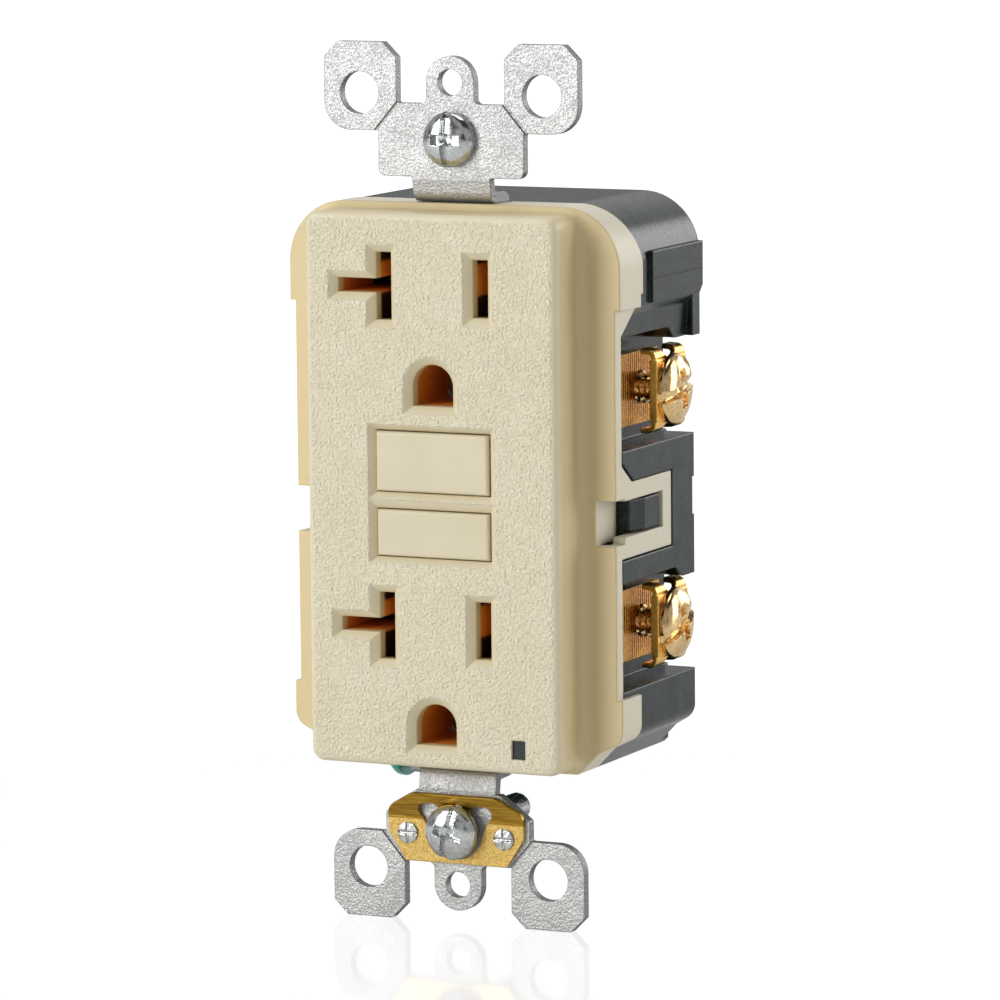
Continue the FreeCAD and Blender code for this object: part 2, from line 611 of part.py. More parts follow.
def clip_rivets():
    rivets = []
    for x, z in rivet_places():
        shank = rod((x, -STRAP_T - CLIP_T, z), RIVET_R, STRAP_T + CLIP_T, (0, 1, 0))
        head = rod((x, -STRAP_T - CLIP_T - 0.35, z), RIVET_R + 0.4, 0.35, (0, 1, 0))
        rim = [e for e in head.Edges if e.BoundBox.YMax < -STRAP_T - CLIP_T - 0.3]
        rivets.append(fused(head.makeChamfer(0.15, rim), shank))
    return Part.makeCompound(rivets)


# ---- Screws ----
def domed_screw(head_r, head_h, shank_r, length, drive_depth, neck_r=None, neck_length=0.0):
    """A screw along +Z from its seat: shank below the seat, crowned head above, slot and cross in it."""
    neck_r = neck_r or shank_r
    profile = [(0, -length), (shank_r - 0.4, -length), (shank_r, 0.5 - length), (shank_r, -neck_length),
               (neck_r, -neck_length), (neck_r, 0), (head_r, 0), (head_r, head_h * 0.4),
               (head_r * 0.85, head_h * 0.72), (head_r * 0.5, head_h * 0.94), (0, head_h)]
    points = []
    for r, z in profile:
        if not points or (V(r, 0, z) - points[-1]).Length > 1e-6:
            points.append(V(r, 0, z))
    outline = Part.makePolygon(points + [points[0]])
    screw = Part.Face(outline).revolve(V(0, 0, 0), V(0, 0, 1), 360)
    slot = box(-head_r - 1, head_r + 1, -0.45, 0.45, head_h - drive_depth, head_h + 1)
    cross = box(-0.5, 0.5, -head_r * 0.55, head_r * 0.55, head_h - drive_depth * 1.1, head_h + 1)
    return screw.cut([slot, cross])


def placed_screw(screw, seat, axis, spin=0.0):
    """Turn a screw so that its head points along axis, and seat it."""
    copy = screw.copy()
    copy.rotate(V(0, 0, 0), V(0, 0, 1), spin)
    turn = FreeCAD.Rotation(V(0, 0, 1), V(*axis))
    copy.Placement = FreeCAD.Placement(V(*seat), turn).multiply(copy.Placement)
    return copy


def mounting_screw(sign, proud):
    screw = domed_screw(MOUNT_HEAD_R, MOUNT_HEAD_H, MOUNT_SCREW_R, MOUNT_SCREW_LENGTH, 0.9,
                        MOUNT_NECK_R, STRAP_T + proud)
    return placed_screw(screw, (0, -STRAP_T - proud, sign * SCREW_PITCH / 2), (0, -1, 0), 90)


def terminal_screw(side, z):
    length = CLAMP_X - POCKET_FLOOR_X + 0.1
    screw = domed_screw(SCREW_HEAD_R, SCREW_HEAD_H, TERMINAL_SCREW_R, length, 1.0)
    return placed_screw(screw, (side * CLAMP_X, TERMINAL_Y, z), (side, 0, 0), 35 * side)


def ground_screw():
    screw = domed_screw(SCREW_HEAD_R, SCREW_HEAD_H + 0.4, TERMINAL_SCREW_R, GROUND_SHANK, 1.0)
    return placed_screw(screw, (GROUND_TAB_X - 1.3, GROUND_SCREW_Y, GROUND_SCREW_Z), (-1, 0, 0), 20)


def clamp_plate(side, z):
    """A square washer whose turned-in upper and lower edges dip between the two wire places."""
    flat_x = CLAMP_X - CLAMP_T / 2
    lip = 1.7
    edge = CLAMP_HALF_H - 0.3
    points = [(flat_x - lip, z + edge), (flat_x, z + edge - 0.1), (flat_x, z - edge + 0.1),
              (flat_x - lip, z - edge)]
    plate = ribbon(points, 0.6, 0.8, lambda a, b: V(a, TERMINAL_Y - CLAMP_HALF_D, b),
                   (0, 2 * CLAMP_HALF_D, 0))
    centre_pad = box(CLAMP_X - CLAMP_T, CLAMP_X, TERMINAL_Y - CLAMP_HALF_D, TERMINAL_Y + CLAMP_HALF_D,
                     z - edge + 1.1, z + edge - 1.1)
    plate = plate.fuse(centre_pad).removeSplitter()
    plate = plate.cut(rod((CLAMP_X - 6, TERMINAL_Y, z), TERMINAL_SCREW_R + FIT, 8, (1, 0, 0)))
    dip_z = CLAMP_HALF_H + CLAMP_DIP_R - CLAMP_DIP
    for centre_z in (z - dip_z, z + dip_z):
        plate = plate.cut(rod((CLAMP_X - 6, TERMINAL_Y, centre_z), CLAMP_DIP_R, 8, (1, 0, 0)))
    return plate if side > 0 else mirrored_x(plate)


# ---- Rear housing ----
def pocket_cut(z0, z1, rear_lip):
    """A terminal pocket, open to the side and rear, with a curved lip hanging at its rear top."""
    profile = [(FLANGE_BACK_Y - 3, z0, 0), (REAR_Y + 1, z0, 0), (REAR_Y + 1, z1 - rear_lip, 0),
               (18.4, z1 - rear_lip, 1.4), (16.6, z1, 2.0), (FLANGE_BACK_Y - 3, z1, 0)]
    return both_sides(prism_x(profile, POCKET_FLOOR_X, CORNER_HALF_W + 1))


def cheek_band():
    """The raised band on the upper side walls."""
    band = box(HOUSING_HALF_W - 0.6, HOUSING_HALF_W + 0.45, 9.2, REAR_Y, UPPER_WALL_Z + 0.1, 28.1)
    lower_back = [e for e in band.Edges if e.BoundBox.YLength < 0.01 and e.BoundBox.XLength > 1
                  and e.CenterOfMass.y > REAR_Y - 0.1 and e.CenterOfMass.z < 25]
    return both_sides(band.makeChamfer(0.9, lower_back))


def pocket_ceiling_slope():
    """Under the upper cheek the pocket's roof slopes up to the side wall."""
    corners = [(POCKET_FLOOR_X + 3.9, POCKETS[0][1] - 3, 0), (CORNER_HALF_W + 1, POCKETS[0][1] - 3, 0),
               (CORNER_HALF_W + 1, UPPER_WALL_Z + 0.3, 0), (HOUSING_HALF_W + 0.1, UPPER_WALL_Z + 0.1, 0),
               (POCKET_FLOOR_X + 4.2, UPPER_WALL_Z - 1.0, 0)]
    face = rounded_face(corners, on_xz(FLANGE_BACK_Y - 3))
    return both_sides(face.extrude(V(0, REAR_Y, 0)))


def catch():
    """The black catch that the cover's side loop hooks over."""
    inner_x = LOOP_OUT_X - LOOP_T - 0.6
    front_y = NOTCH_BACK_Y + 0.1
    corners = [(inner_x, front_y, 0), (LOOP_OUT_X - 1.0, front_y, 0.2), (LOOP_OUT_X - 0.2, 8.0, 0.4),
               (LOOP_OUT_X - 0.2, LOOP_WINDOW_Y - 0.3, 0.5), (inner_x, LOOP_WINDOW_Y - 0.3, 0)]
    return both_sides(prism_z(corners, LOOP_WINDOW_Z[0] + 0.3, LOOP_WINDOW_Z[1] - 0.3))


def housing_solid():
    blank = body_blank(HOUSING_HALF_W, FLANGE_BACK_Y, REAR_Y, 0.0)
    shape = blank.cut(front_region(30)).fuse(cheek_band())
    cuts = [pocket_cut(*POCKETS[0], 1.6), pocket_cut(*POCKETS[1], 1.4), pocket_ceiling_slope()]
    low_strip = Part.makeBox(8, 6, TERMINAL_Z[0] + 40, V(POCKET_FLOOR_X + 0.4, SIDE_REAR_Y, -40))
    cuts.append(both_sides(low_strip))
    step = box(HOUSING_HALF_W - 0.9, CORNER_HALF_W, SIDE_REAR_Y - 0.5, SIDE_REAR_Y + 1, -5.1, -0.5)
    cuts.append(both_sides(step))
    channel = box(LOOP_OUT_X - LOOP_T - 0.1, CORNER_HALF_W, FLANGE_BACK_Y - 1, LOOP_END_Y + 0.2,
                  LOOP_Z[0] - 0.2, LOOP_Z[1] + 0.2)
    cuts.append(both_sides(channel))
    gusset_gap = prism_x([(FLANGE_BACK_Y - 0.5, LOOP_Z[1], 0), (FLANGE_BACK_Y + 3.6, LOOP_Z[1], 0),
                          (FLANGE_BACK_Y - 0.5, LOOP_Z[1] + 3.0, 0)],
                         LOOP_OUT_X - LOOP_T - 0.1, CORNER_HALF_W)
    cuts.append(both_sides(gusset_gap))
    notch = box(NOTCH_FLOOR_X - 1.5, CORNER_HALF_W, FLANGE_BACK_Y - 1, NOTCH_BACK_Y + 0.1,
                LOOP_WINDOW_Z[0] - 0.9, LOOP_WINDOW_Z[1] + 0.4)
    cuts.append(both_sides(notch))
    return shape.cut(cuts).fuse(catch())


def ground_pocket():
    return box(-CORNER_HALF_W - 1, GROUND_TAB_X + STRAP_T + 0.4, FLANGE_BACK_Y - 1, 12.4,
               BODY_BOTTOM_Z - 1, GROUND_SCREW_Z + SCREW_HEAD_R + 0.45)


def housing_hollow():
    """The room inside: narrow beside the terminal pockets, wide between them."""
    front = FLANGE_BACK_Y - 2
    narrow = box(-CAVITY_HALF_W, CAVITY_HALF_W, front, REAR_INNER_Y, BODY_BOTTOM_Z + HOUSING_WALL,
                 BODY_TOP_Z - HOUSING_WALL)
    parts = [narrow]
    for z0, z1 in ((UPPER_WALL_Z + 0.8, BODY_TOP_Z - HOUSING_WALL - 3.2),
                   (POCKETS[1][1] + HOUSING_WALL, POCKETS[0][0] - HOUSING_WALL)):
        half = HOUSING_HALF_W - HOUSING_WALL - (1.9 if z1 < 10 else 1.2)
        parts.append(box(-half, half, front, SIDE_REAR_Y - HOUSING_WALL, z0, z1))
    hollow = parts[0].fuse(parts[1:])
    guard = ground_pocket()
    wall = 1.2
    keep = box(-40, GROUND_TAB_X + STRAP_T + 0.4 + wall, -10, 12.4 + wall, BODY_BOTTOM_Z - 1,
               GROUND_SCREW_Z + SCREW_HEAD_R + 0.45 + wall)
    return hollow.cut(keep), guard


def board_posts():
    return ((-12.8, 29.0), (12.8, 29.0), (-13.0, -3.2), (13.0, -3.2))


def rear_housing():
    hollow, pocket = housing_hollow()
    shape = housing_solid().cut(hollow)
    for x, z in case_posts():
        shape = shape.fuse(rod((x, post_front(z), z), POST_R, REAR_Y - post_front(z) - 3.1, (0, 1, 0)))
    cuts = [pocket]
    for x, z in case_posts():
        cuts.append(rod((x, 0, z), POST_R + FIT, post_front(z), (0, 1, 0)))
        rear = REAR_Y if z > 0 else SIDE_REAR_Y
        cuts.append(rod((x, 0, z), CASE_SCREW_R + FIT, 30, (0, 1, 0)))
        cuts.append(rod((x, rear - CASE_WELL, z), CASE_HEAD_R + FIT, 5, (0, 1, 0)))
    for side in (1, -1):
        for z in TERMINAL_Z:
            inner = CAVITY_HALF_W - 0.5
            start = inner if side > 0 else -POCKET_FLOOR_X - 0.5
            cuts.append(rod((start, TERMINAL_Y, z), TERMINAL_SCREW_R + 0.3, POCKET_FLOOR_X + 0.5 - inner,
                            (1, 0, 0)))
        for z, y0, y1 in ((TERMINAL_Z[0], FLANGE_BACK_Y - 2, TRAY_FRONT_Y + 0.05),
                          (TERMINAL_Z[1], LINE_BACK_Y - CONTACT_T - 0.05, REAR_Y + 1)):
            slot = box(CAVITY_HALF_W - 0.5, POCKET_FLOOR_X + 0.5, y0, y1, z - 3.1, z + 3.1)
            cuts.append(slot if side > 0 else mirrored_x(slot))
    shape = shape.cut(cuts)
    pads = []
    for x, z in board_posts():
        pads.append(rod((x, BOARD_Y + BOARD_T, z), 1.5, REAR_INNER_Y - BOARD_Y - BOARD_T + 0.2, (0, 1, 0)))
        support = rod((x, TRAY_BACK_Y, z), 1.2, BOARD_Y - TRAY_BACK_Y, (0, 1, 0))
        pads.append(support.fuse(rod((x, BOARD_Y - 0.1, z), 0.7, BOARD_T + 0.3, (0, 1, 0))))
    shape = shape.fuse(pads).removeSplitter()
    return largest(shape)


# ---- Contact tray behind the strap ----
def contact_tray():
    half_w = TRAY_HALF_W
    top, bottom = BODY_TOP_Z - COVER_WALL - 0.25, BODY_BOTTOM_Z + COVER_WALL + 0.25
    block = box(-half_w, half_w, INNER_BACK_Y, TRAY_BACK_Y, bottom, top)
    room = box(-half_w + TRAY_WALL, half_w - TRAY_WALL, INNER_BACK_Y - 1, TRAY_FRONT_Y,
               bottom + TRAY_WALL, top - TRAY_WALL)
    half_rib = RIB_T / 2
    ribs = [box(side * RIB_X - half_rib, side * RIB_X + half_rib, INNER_BACK_Y + 0.2, TRAY_FRONT_Y, bottom, top)
            for side in (1, -1)]
    tower = rod((RESET_X, INNER_BACK_Y + 0.8, RESET_AXIS_Z), 3.2, TRAY_FRONT_Y - INNER_BACK_Y - 0.8, (0, 1, 0))
    shape = block.cut(room).fuse(ribs + [tower])
    cuts = [rod((RESET_X, 0, RESET_AXIS_Z), PIN_R + 0.1, 30, (0, 1, 0)),
            rod((TEST_STEM_X, 0, TEST_AXIS_Z), 1.1, 30, (0, 1, 0)),
            box(LENS_X - 1.2, LENS_X + 1.2, 0, 30, LENS_Z - 1.4, LENS_Z + 1.4)]
    for z in GROUND_Z:
        cuts.append(rod((0, 0, z), 2.9, 30, (0, 1, 0)))
    for side in (1, -1):
        cuts.append(rod((side * ARM_X, TRAY_FRONT_Y - 0.5, ARM_CONTACT_Z), 1.9, 3, (0, 1, 0)))
        tab = box(half_w - 1.5, half_w + 1, BUS_Y - 0.05, TRAY_FRONT_Y, TERMINAL_Z[0] - 3.1,
                  TERMINAL_Z[0] + 3.1)
        cuts.append(tab if side > 0 else mirrored_x(tab))
    guard_x = GROUND_TAB_X + STRAP_T + 0.4 + 1.2 + 0.2
    guard_z = GROUND_SCREW_Z + SCREW_HEAD_R + 0.45 + 1.2 + 0.2
    cuts.append(box(-40, guard_x, -10, 40, -40, guard_z))
    shape = shape.cut(cuts)
    shape = shape.fuse([box(guard_x, guard_x + 1.1, INNER_BACK_Y, TRAY_BACK_Y, bottom, guard_z + 1.1),
                        box(-half_w, guard_x, INNER_BACK_Y, TRAY_BACK_Y, guard_z, guard_z + 1.1)])
    return largest(shape.removeSplitter())


# ---- Current-carrying pieces ----
def blade_clip(x, z, half_h):
    """Two sprung leaves that a plug blade slides between, rising from the bus strip."""
    leaf = ribbon([(x + 1.9, BUS_Y + 0.2), (x + 1.6, 8.4), (x + 0.85, 6.6), (x + 1.7, 4.9)],
                  0.5, 0.6, lambda a, b: V(a, b, z - half_h), (0, 0, 2 * half_h))
    other = leaf.mirror(V(x, 0, 0), V(1, 0, 0))
    return [leaf, other]


def side_clip(z):
    """The leaves for a blade that lies sideways in the neutral slot."""
    place = on_yz(-12.9)
    leaf = ribbon([(BUS_Y + 0.2, z + 1.9), (8.4, z + 1.6), (6.6, z + 0.85), (4.9, z + 1.7)],
                  0.5, 0.6, place, (4.3, 0, 0))
    return [leaf, leaf.mirror(V(0, 0, z), V(0, 0, 1))]


def terminal_plate(z):
    """The upright plate in the pocket that the wire is clamped against."""
    plate = box(POCKET_FLOOR_X, POCKET_FLOOR_X + TERMINAL_T, TERMINAL_FRONT_Y, LINE_BACK_Y,
                z - TERMINAL_HALF_H, z + TERMINAL_HALF_H)
    return plate.cut(rod((POCKET_FLOOR_X - 1, TERMINAL_Y, z), TERMINAL_SCREW_R + FIT, 4, (1, 0, 0)))


def face_contact(side):
    """One pole: a bus strip with a clip at each outlet, a load terminal and a switch contact."""
    inner = 4.6
    bus = box(inner, 12.6, BUS_Y, TRAY_FRONT_Y, OUTLET_Z[1] - 4.2, OUTLET_Z[0] + 4.2)
    pieces = [box(12.4, POCKET_FLOOR_X + TERMINAL_T, BUS_Y, TRAY_FRONT_Y, TERMINAL_Z[0] - 3.0,
                  TERMINAL_Z[0] + 3.0),
              terminal_plate(TERMINAL_Z[0]),
              rod((ARM_X, TRAY_FRONT_Y - 0.1, ARM_CONTACT_Z), 1.6, 1.6, (0, 1, 0))]
    for z in OUTLET_Z:
        half = (HOT_SLOT if side > 0 else NEUTRAL_SLOT)[1] / 2
        pieces += blade_clip(SLOT_X, z, half - 0.3)
    shape = fused(bus, *pieces)
    if side < 0:
        stem_hole = rod((-TEST_STEM_X, 0, TEST_AXIS_Z), 1.3, 30, (0, 1, 0))
        shape = mirrored_x(shape.cut(stem_hole))
        window = [box(-SLOT_X - 2.3, -SLOT_X - 1.0, 4.5, 9.9, z - 1.25, z + 1.25) for z in OUTLET_Z]
        shape = shape.cut(window)
        shape = fused(shape, *[leaf for z in OUTLET_Z for leaf in side_clip(z)])
    return largest(shape)


def ground_contact(z):
    """A clip behind the strap with two leaves that grip the ground pin."""
    base = box(-3.2, 3.2, INNER_BACK_Y, INNER_BACK_Y + 0.6, z - 2.6, z + 3.4)
    leaf = ribbon([(2.95, INNER_BACK_Y + 0.3), (2.9, 6.6), (2.35, 8.4), (2.8, 10.6)], 0.5, 0.5,
                  on_xy(z - 2.2), (0, 0, 4.4))
    shape = fused(base, leaf, mirrored_x(leaf))
    return shape.cut(rod((0, 0, z), 2.45, 6.2, (0, 1, 0)))


def line_terminal(side):
    """The supply conductor: in at the terminal, through the sensing cores, out to the switch arm."""
    z = TERMINAL_Z[1]
    back = LINE_BACK_Y - CONTACT_T
    front = LINE_FRONT_Y
    low = CORE_Z - 1.3
    high = CORE_Z + 1.3
    plate = terminal_plate(z)
    entry = box(13.0, POCKET_FLOOR_X + 0.2, back, LINE_BACK_Y, z - 2.9, z + 2.9)
    drop = box(13.0, 14.2, back, LINE_BACK_Y, low, z + 2.9)
    across = box(1.0, 14.2, back, LINE_BACK_Y, low, high)
    through = box(1.0, 1.9, front, LINE_BACK_Y, low, high)
    out = box(1.0, ARM_X + 1.6, front, front + CONTACT_T, low, high)
    rise = box(ARM_X - 1.6, ARM_X + 1.6, front, front + CONTACT_T, low, ARM_ROOT_Z - 0.6)
    shape = fused(plate, entry, drop, across, through, out, rise)
    return shape if side > 0 else mirrored_x(shape)


def contact_arm(side):
    """The sprung arm that closes one pole of the switch, with its silver contact."""
    strip = box(ARM_X - 1.6, ARM_X + 1.6, ARM_Y, ARM_Y + 0.5, ARM_ROOT_Z, ARM_CONTACT_Z + 2.0)
    root = rod((ARM_X - 1.6, ARM_Y + 0.25, ARM_ROOT_Z), 0.25, 3.2, (1, 0, 0))
    contact = rod((ARM_X, TRAY_FRONT_Y + 1.5, ARM_CONTACT_Z), 1.5, ARM_Y - TRAY_FRONT_Y - 1.4, (0, 1, 0))
    shape = fused(strip, root, contact)
    return shape if side > 0 else mirrored_x(shape)


# ---- Buttons and the trip mechanism ----
def button(z0, z1, front_y, depth, foot):
    """A key with a softly rounded front and a foot that keeps it behind the face."""
    cap = box(-BUTTON_HALF_W, BUTTON_HALF_W, front_y, front_y + depth, z0, z1)
    front = [e for e in cap.Edges if e.BoundBox.YMax < front_y + 0.01]
    cap = cap.makeFillet(0.35, front)
    flare = 0.45
    lip = box(-BUTTON_HALF_W - flare, BUTTON_HALF_W + flare, front_y + depth, front_y + depth + foot,
              z0 - flare, z1 + flare)
    return fused(cap, lip)


def reset_button():
    cap = button(*RESET_Z, FACE_Y + 0.3, 4.0, 0.8)
    socket = rod((RESET_X, FACE_Y + 2.6, RESET_AXIS_Z), 1.0, 5, (0, 1, 0))
    return cap.cut(socket)


def reset_pin():
    """The steel pin behind the reset key, with a long waist that the latch plate holds."""
    start = FACE_Y + 2.6
    neck = rod((RESET_X, start, RESET_AXIS_Z), 0.98, 3.5, (0, 1, 0))
    shaft_start = FACE_Y + 5.1
    waist_start = LATCH_Y - PIN_TRAVEL[1] - 0.1
    waist_end = LATCH_Y + LATCH_T + PIN_TRAVEL[0] + 0.1
    shaft = rod((RESET_X, shaft_start, RESET_AXIS_Z), PIN_R, waist_start - shaft_start, (0, 1, 0))
    waist = rod((RESET_X, waist_start, RESET_AXIS_Z), 0.7, waist_end - waist_start, (0, 1, 0))
    tip = rod((RESET_X, waist_end, RESET_AXIS_Z), PIN_R, 0.7, (0, 1, 0))
    return fused(neck, shaft, waist, tip)


def coil_spring(centre, radius, wire, length, turns):
    """A coil along +Y, its round wire bent from short straight runs with six sides."""
    steps = turns * SPRING_RUNS_PER_TURN
    points = []
    for i in range(steps + 1):
        angle = 2 * math.pi * i / SPRING_RUNS_PER_TURN
        points.append(V(radius * math.cos(angle), length * i / steps, radius * math.sin(angle)))
    path = Part.makePolygon(points)
    heading = (points[1] - points[0]).normalize()
    outward = V(1, 0, 0)
    across = heading.cross(outward).normalize()
    outward = across.cross(heading)
    corners = []
    for i in range(7):
        angle = math.pi * i / 3
        corners.append(points[0] + outward * wire * math.cos(angle) + across * wire * math.sin(angle))
    section = Part.makePolygon(corners)
    shape = path.makePipeShell([section], True, True, 1)
    shape.translate(V(*centre))
    return shape


def reset_spring():
    start = FACE_Y + 5.1 + 0.35
    end = INNER_BACK_Y + 0.8 - 0.35
    return coil_spring((RESET_X, start, RESET_AXIS_Z), SPRING_R, SPRING_WIRE_R, end - start, SPRING_TURNS)


def test_button():
    key = button(*TEST_Z, FACE_Y + 0.42, 3.4, 0.8)
    stem_start = FACE_Y + 4.0
    stem = rod((TEST_STEM_X, stem_start, TEST_AXIS_Z), 0.9, TEST_STRIP_Y - 0.02 - stem_start, (0, 1, 0))
    return fused(key, stem)


def test_contact():
    """The springy strip that the test key presses to start a test."""
    strip = box(TEST_STEM_X - 1.2, TEST_STEM_X + 1.2, TEST_STRIP_Y, TEST_STRIP_Y + 0.35,
                TEST_ROOT_Z, TEST_AXIS_Z + 1.6)
    root = rod((TEST_STEM_X - 1.2, TEST_STRIP_Y + 0.17, TEST_ROOT_Z), 0.17, 2.4, (1, 0, 0))
    return fused(strip, root)


def latch_plate():
    """The steel plate that holds the reset pin by its waist until the plunger pushes it up."""
    low = LATCH_TAB_Z[0]
    corners = [(-4.2, low, 0.4), (4.2, low, 0.4), (4.2, 8.8, 0.8), (-4.2, 8.8, 0.8)]
    plate = plate_y(corners, LATCH_Y, LATCH_Y + LATCH_T)
    wide = rod((RESET_X, 0, RESET_AXIS_Z - LATCH_TRAVEL), PIN_R + 0.3, 30, (0, 1, 0))
    narrow = rod((RESET_X, 0, RESET_AXIS_Z + 0.5), 0.95, 30, (0, 1, 0))
    bridge = box(-0.95, 0.95, 0, 30, RESET_AXIS_Z - LATCH_TRAVEL, RESET_AXIS_Z + 0.5)
    tab = box(-2.0, 2.0, COIL_Y - 0.8, LATCH_Y + LATCH_T, *LATCH_TAB_Z)
    return fused(plate, tab).cut([wide, bridge, narrow])


def contact_carriage():
    """The moulded yoke that carries both switch arms."""
    back = LATCH_Y - ARM_TRAVEL - 0.15
    front = ARM_Y + 0.5
    low = LATCH_TAB_Z[1] + LATCH_TRAVEL + 0.15
    high = RESET_AXIS_Z + 3.2
    bar = box(-12.4, 12.4, front, back, low, high)
    hub = box(-4.6, 4.6, TRAY_BACK_Y + 0.2, back, low, high)
    hole = rod((RESET_X, 0, RESET_AXIS_Z), PIN_R + 0.1, 30, (0, 1, 0))
    return fused(bar, hub).cut(hole)


def coil_bobbin():
    z0, z1 = COIL_Z
    tube = rod((0, COIL_Y, z0), 1.9, z1 - z0, (0, 0, 1))
    ends = [rod((0, COIL_Y, z), COIL_R, 0.9, (0, 0, 1)) for z in (z0, z1 - 0.9)]
    return fused(tube, *ends).cut(rod((0, COIL_Y, z0 - 1), 1.35, z1 - z0 + 2, (0, 0, 1)))


def coil_winding():
    z0, z1 = COIL_Z[0] + 0.9, COIL_Z[1] - 0.9
    return rod((0, COIL_Y, z0), COIL_R - 0.25, z1 - z0, (0, 0, 1)).cut(
        rod((0, COIL_Y, z0 - 1), 1.9, z1 - z0 + 2, (0, 0, 1)))


def trip_plunger():
    """The armature: it shoots up and knocks the latch plate aside."""
    body = rod((0, COIL_Y, COIL_Z[0] - 0.4), 1.3, COIL_Z[1] - COIL_Z[0] - 0.2, (0, 0, 1))
    nose = rod((0, COIL_Y, COIL_Z[1] - 0.7), 0.8, LATCH_TAB_Z[0] - 0.02 - COIL_Z[1] + 0.7, (0, 0, 1))
    foot = rod((0, COIL_Y, COIL_Z[0] - 1.9), 2.3, 0.6, (0, 0, 1))
    link = rod((0, COIL_Y, COIL_Z[0] - 1.4), 0.8, 1.1, (0, 0, 1))
    return fused(body, nose, link, foot)


def core_ring(y0):
    ring = rod((0, y0, CORE_Z), CORE_R - 0.5, CORE_T, (0, 1, 0))
    return ring.cut(rod((0, y0 - 1, CORE_Z), CORE_BORE_R, CORE_T + 2, (0, 1, 0)))


def core_winding(y0):
    """Fine wire wound round most of a ring core."""
    sleeve = rod((0, y0 - WINDING_T, CORE_Z), CORE_R, CORE_T + 2 * WINDING_T, (0, 1, 0))
    sleeve = sleeve.cut([rod((0, y0 - 1, CORE_Z), CORE_BORE_R - 0.4, CORE_T + 2, (0, 1, 0)), core_ring(y0)])
    gap = box(-1.2, 1.2, y0 - 2, y0 + CORE_T + 2, CORE_Z - CORE_R - 1, CORE_Z)
    return sleeve.cut(gap)


def core_carrier():
    """The moulded sleeve and washer that hold both ring cores round the conductors."""
    y0 = SENSE_CORE_Y - WINDING_T
    y1 = NEUTRAL_CORE_Y + CORE_T + WINDING_T
    tube = rod((0, y0, CORE_Z), CORE_BORE_R - 0.4, y1 - y0, (0, 1, 0)).cut(
        rod((0, y0 - 1, CORE_Z), CORE_BORE_R - 0.95, y1 - y0 + 2, (0, 1, 0)))
    mid = SENSE_CORE_Y + CORE_T + WINDING_T
    washer = rod((0, mid, CORE_Z), CORE_R, NEUTRAL_CORE_Y - WINDING_T - mid, (0, 1, 0)).cut(
        rod((0, 0, CORE_Z), CORE_BORE_R - 0.95, 40, (0, 1, 0)))
    return fused(tube, washer)


# ---- Circuit board and what stands on it ----
def circuit_board():
    board = plate_y(rectangle(-BOARD_HALF_W, BOARD_HALF_W, -31.6, 31.2, 1.0), BOARD_Y, BOARD_Y + BOARD_T)
    holes = []
    for x, z in board_posts():
        holes.append(rod((x, BOARD_Y - 1, z), 0.7 + FIT, BOARD_T + 2, (0, 1, 0)))
    return board.cut(holes)


def surge_varistor():
    return rod((-9.5, 16.9, 20.0), 3.9, 3.4, (1, 0, 0)).fuse(
        box(-8.3, -7.3, 18.0, BOARD_Y, 17.5, 22.5)).removeSplitter()


def film_capacitor():
    block = box(3.0, 13.0, 14.4, BOARD_Y, 17.6, 23.1)
    uprights = [e for e in block.Edges if e.BoundBox.YLength > 6]
    return block.makeFillet(0.6, uprights)


def control_chip():
    body = box(-2.5, 3.9, BOARD_Y - 2.6, BOARD_Y - 0.5, 24.5, 30.5)
    legs = []
    for side, x in ((-1, -2.5), (1, 3.9)):
        for i in range(4):
            z = 25.1 + i * 1.4
            outer = x + side * 0.5
            legs.append(box(min(x, outer), max(x, outer), BOARD_Y - 1.5, BOARD_Y, z, z + 0.5))
    return fused(body, *legs)


def resistors():
    pieces = []
    for i in range(3):
        z = 11.0 + i * 2.6
        pieces.append(rod((4.0, BOARD_Y - 1.1, z - 0.2), 1.1, 6.5, (1, 0, 0)))
    for i in range(2):
        pieces.append(rod((-12.5, BOARD_Y - 1.1, 10.0 + i * 2.8), 1.1, 6.5, (1, 0, 0)))
    return Part.makeCompound(pieces)


def indicator_lens():
    half_x, half_z = LENS_SIZE[0] / 2, LENS_SIZE[1] / 2
    return box(LENS_X - half_x, LENS_X + half_x, FACE_Y + 0.35, TRAY_BACK_Y + 0.4,
               LENS_Z - half_z, LENS_Z + half_z)


def indicator_led():
    front = TRAY_BACK_Y + 0.4
    dome = Part.makeSphere(1.0, V(LENS_X, front + 1.0, LENS_Z + 0.3))
    barrel = rod((LENS_X, front + 1.0, LENS_Z + 0.3), 1.0, 2.4, (0, 1, 0))
    legs = [box(LENS_X + dx - 0.2, LENS_X + dx + 0.2, front + 3.2, BOARD_Y, LENS_Z + 0.1, LENS_Z + 0.5)
            for dx in (-0.55, 0.55)]
    return fused(dome.cut(box(0, 20, front + 1.0, 30, -40, 0)), barrel, *legs)


def assembly_screws():
    """Four long screws that hold housing and cover together from the rear."""
    screws = []
    for x, z in case_posts():
        rear = REAR_Y if z > 0 else SIDE_REAR_Y
        seat = rear - CASE_WELL
        shank = rod((x, FLANGE_BACK_Y + 0.2, z), CASE_SCREW_R, seat - FLANGE_BACK_Y - 0.2, (0, 1, 0))
        head = rod((x, seat, z), CASE_HEAD_R, CASE_HEAD_H, (0, 1, 0))
        slot = box(x - CASE_HEAD_R - 1, x + CASE_HEAD_R + 1, seat + CASE_HEAD_H - 0.6, rear + 1,
                   z - 0.4, z + 0.4)
        screws.append(fused(shank, head).cut(slot))
    return Part.makeCompound(screws)


def save(name, shape):
    shape.exportStep("parts/" + name + ".step")


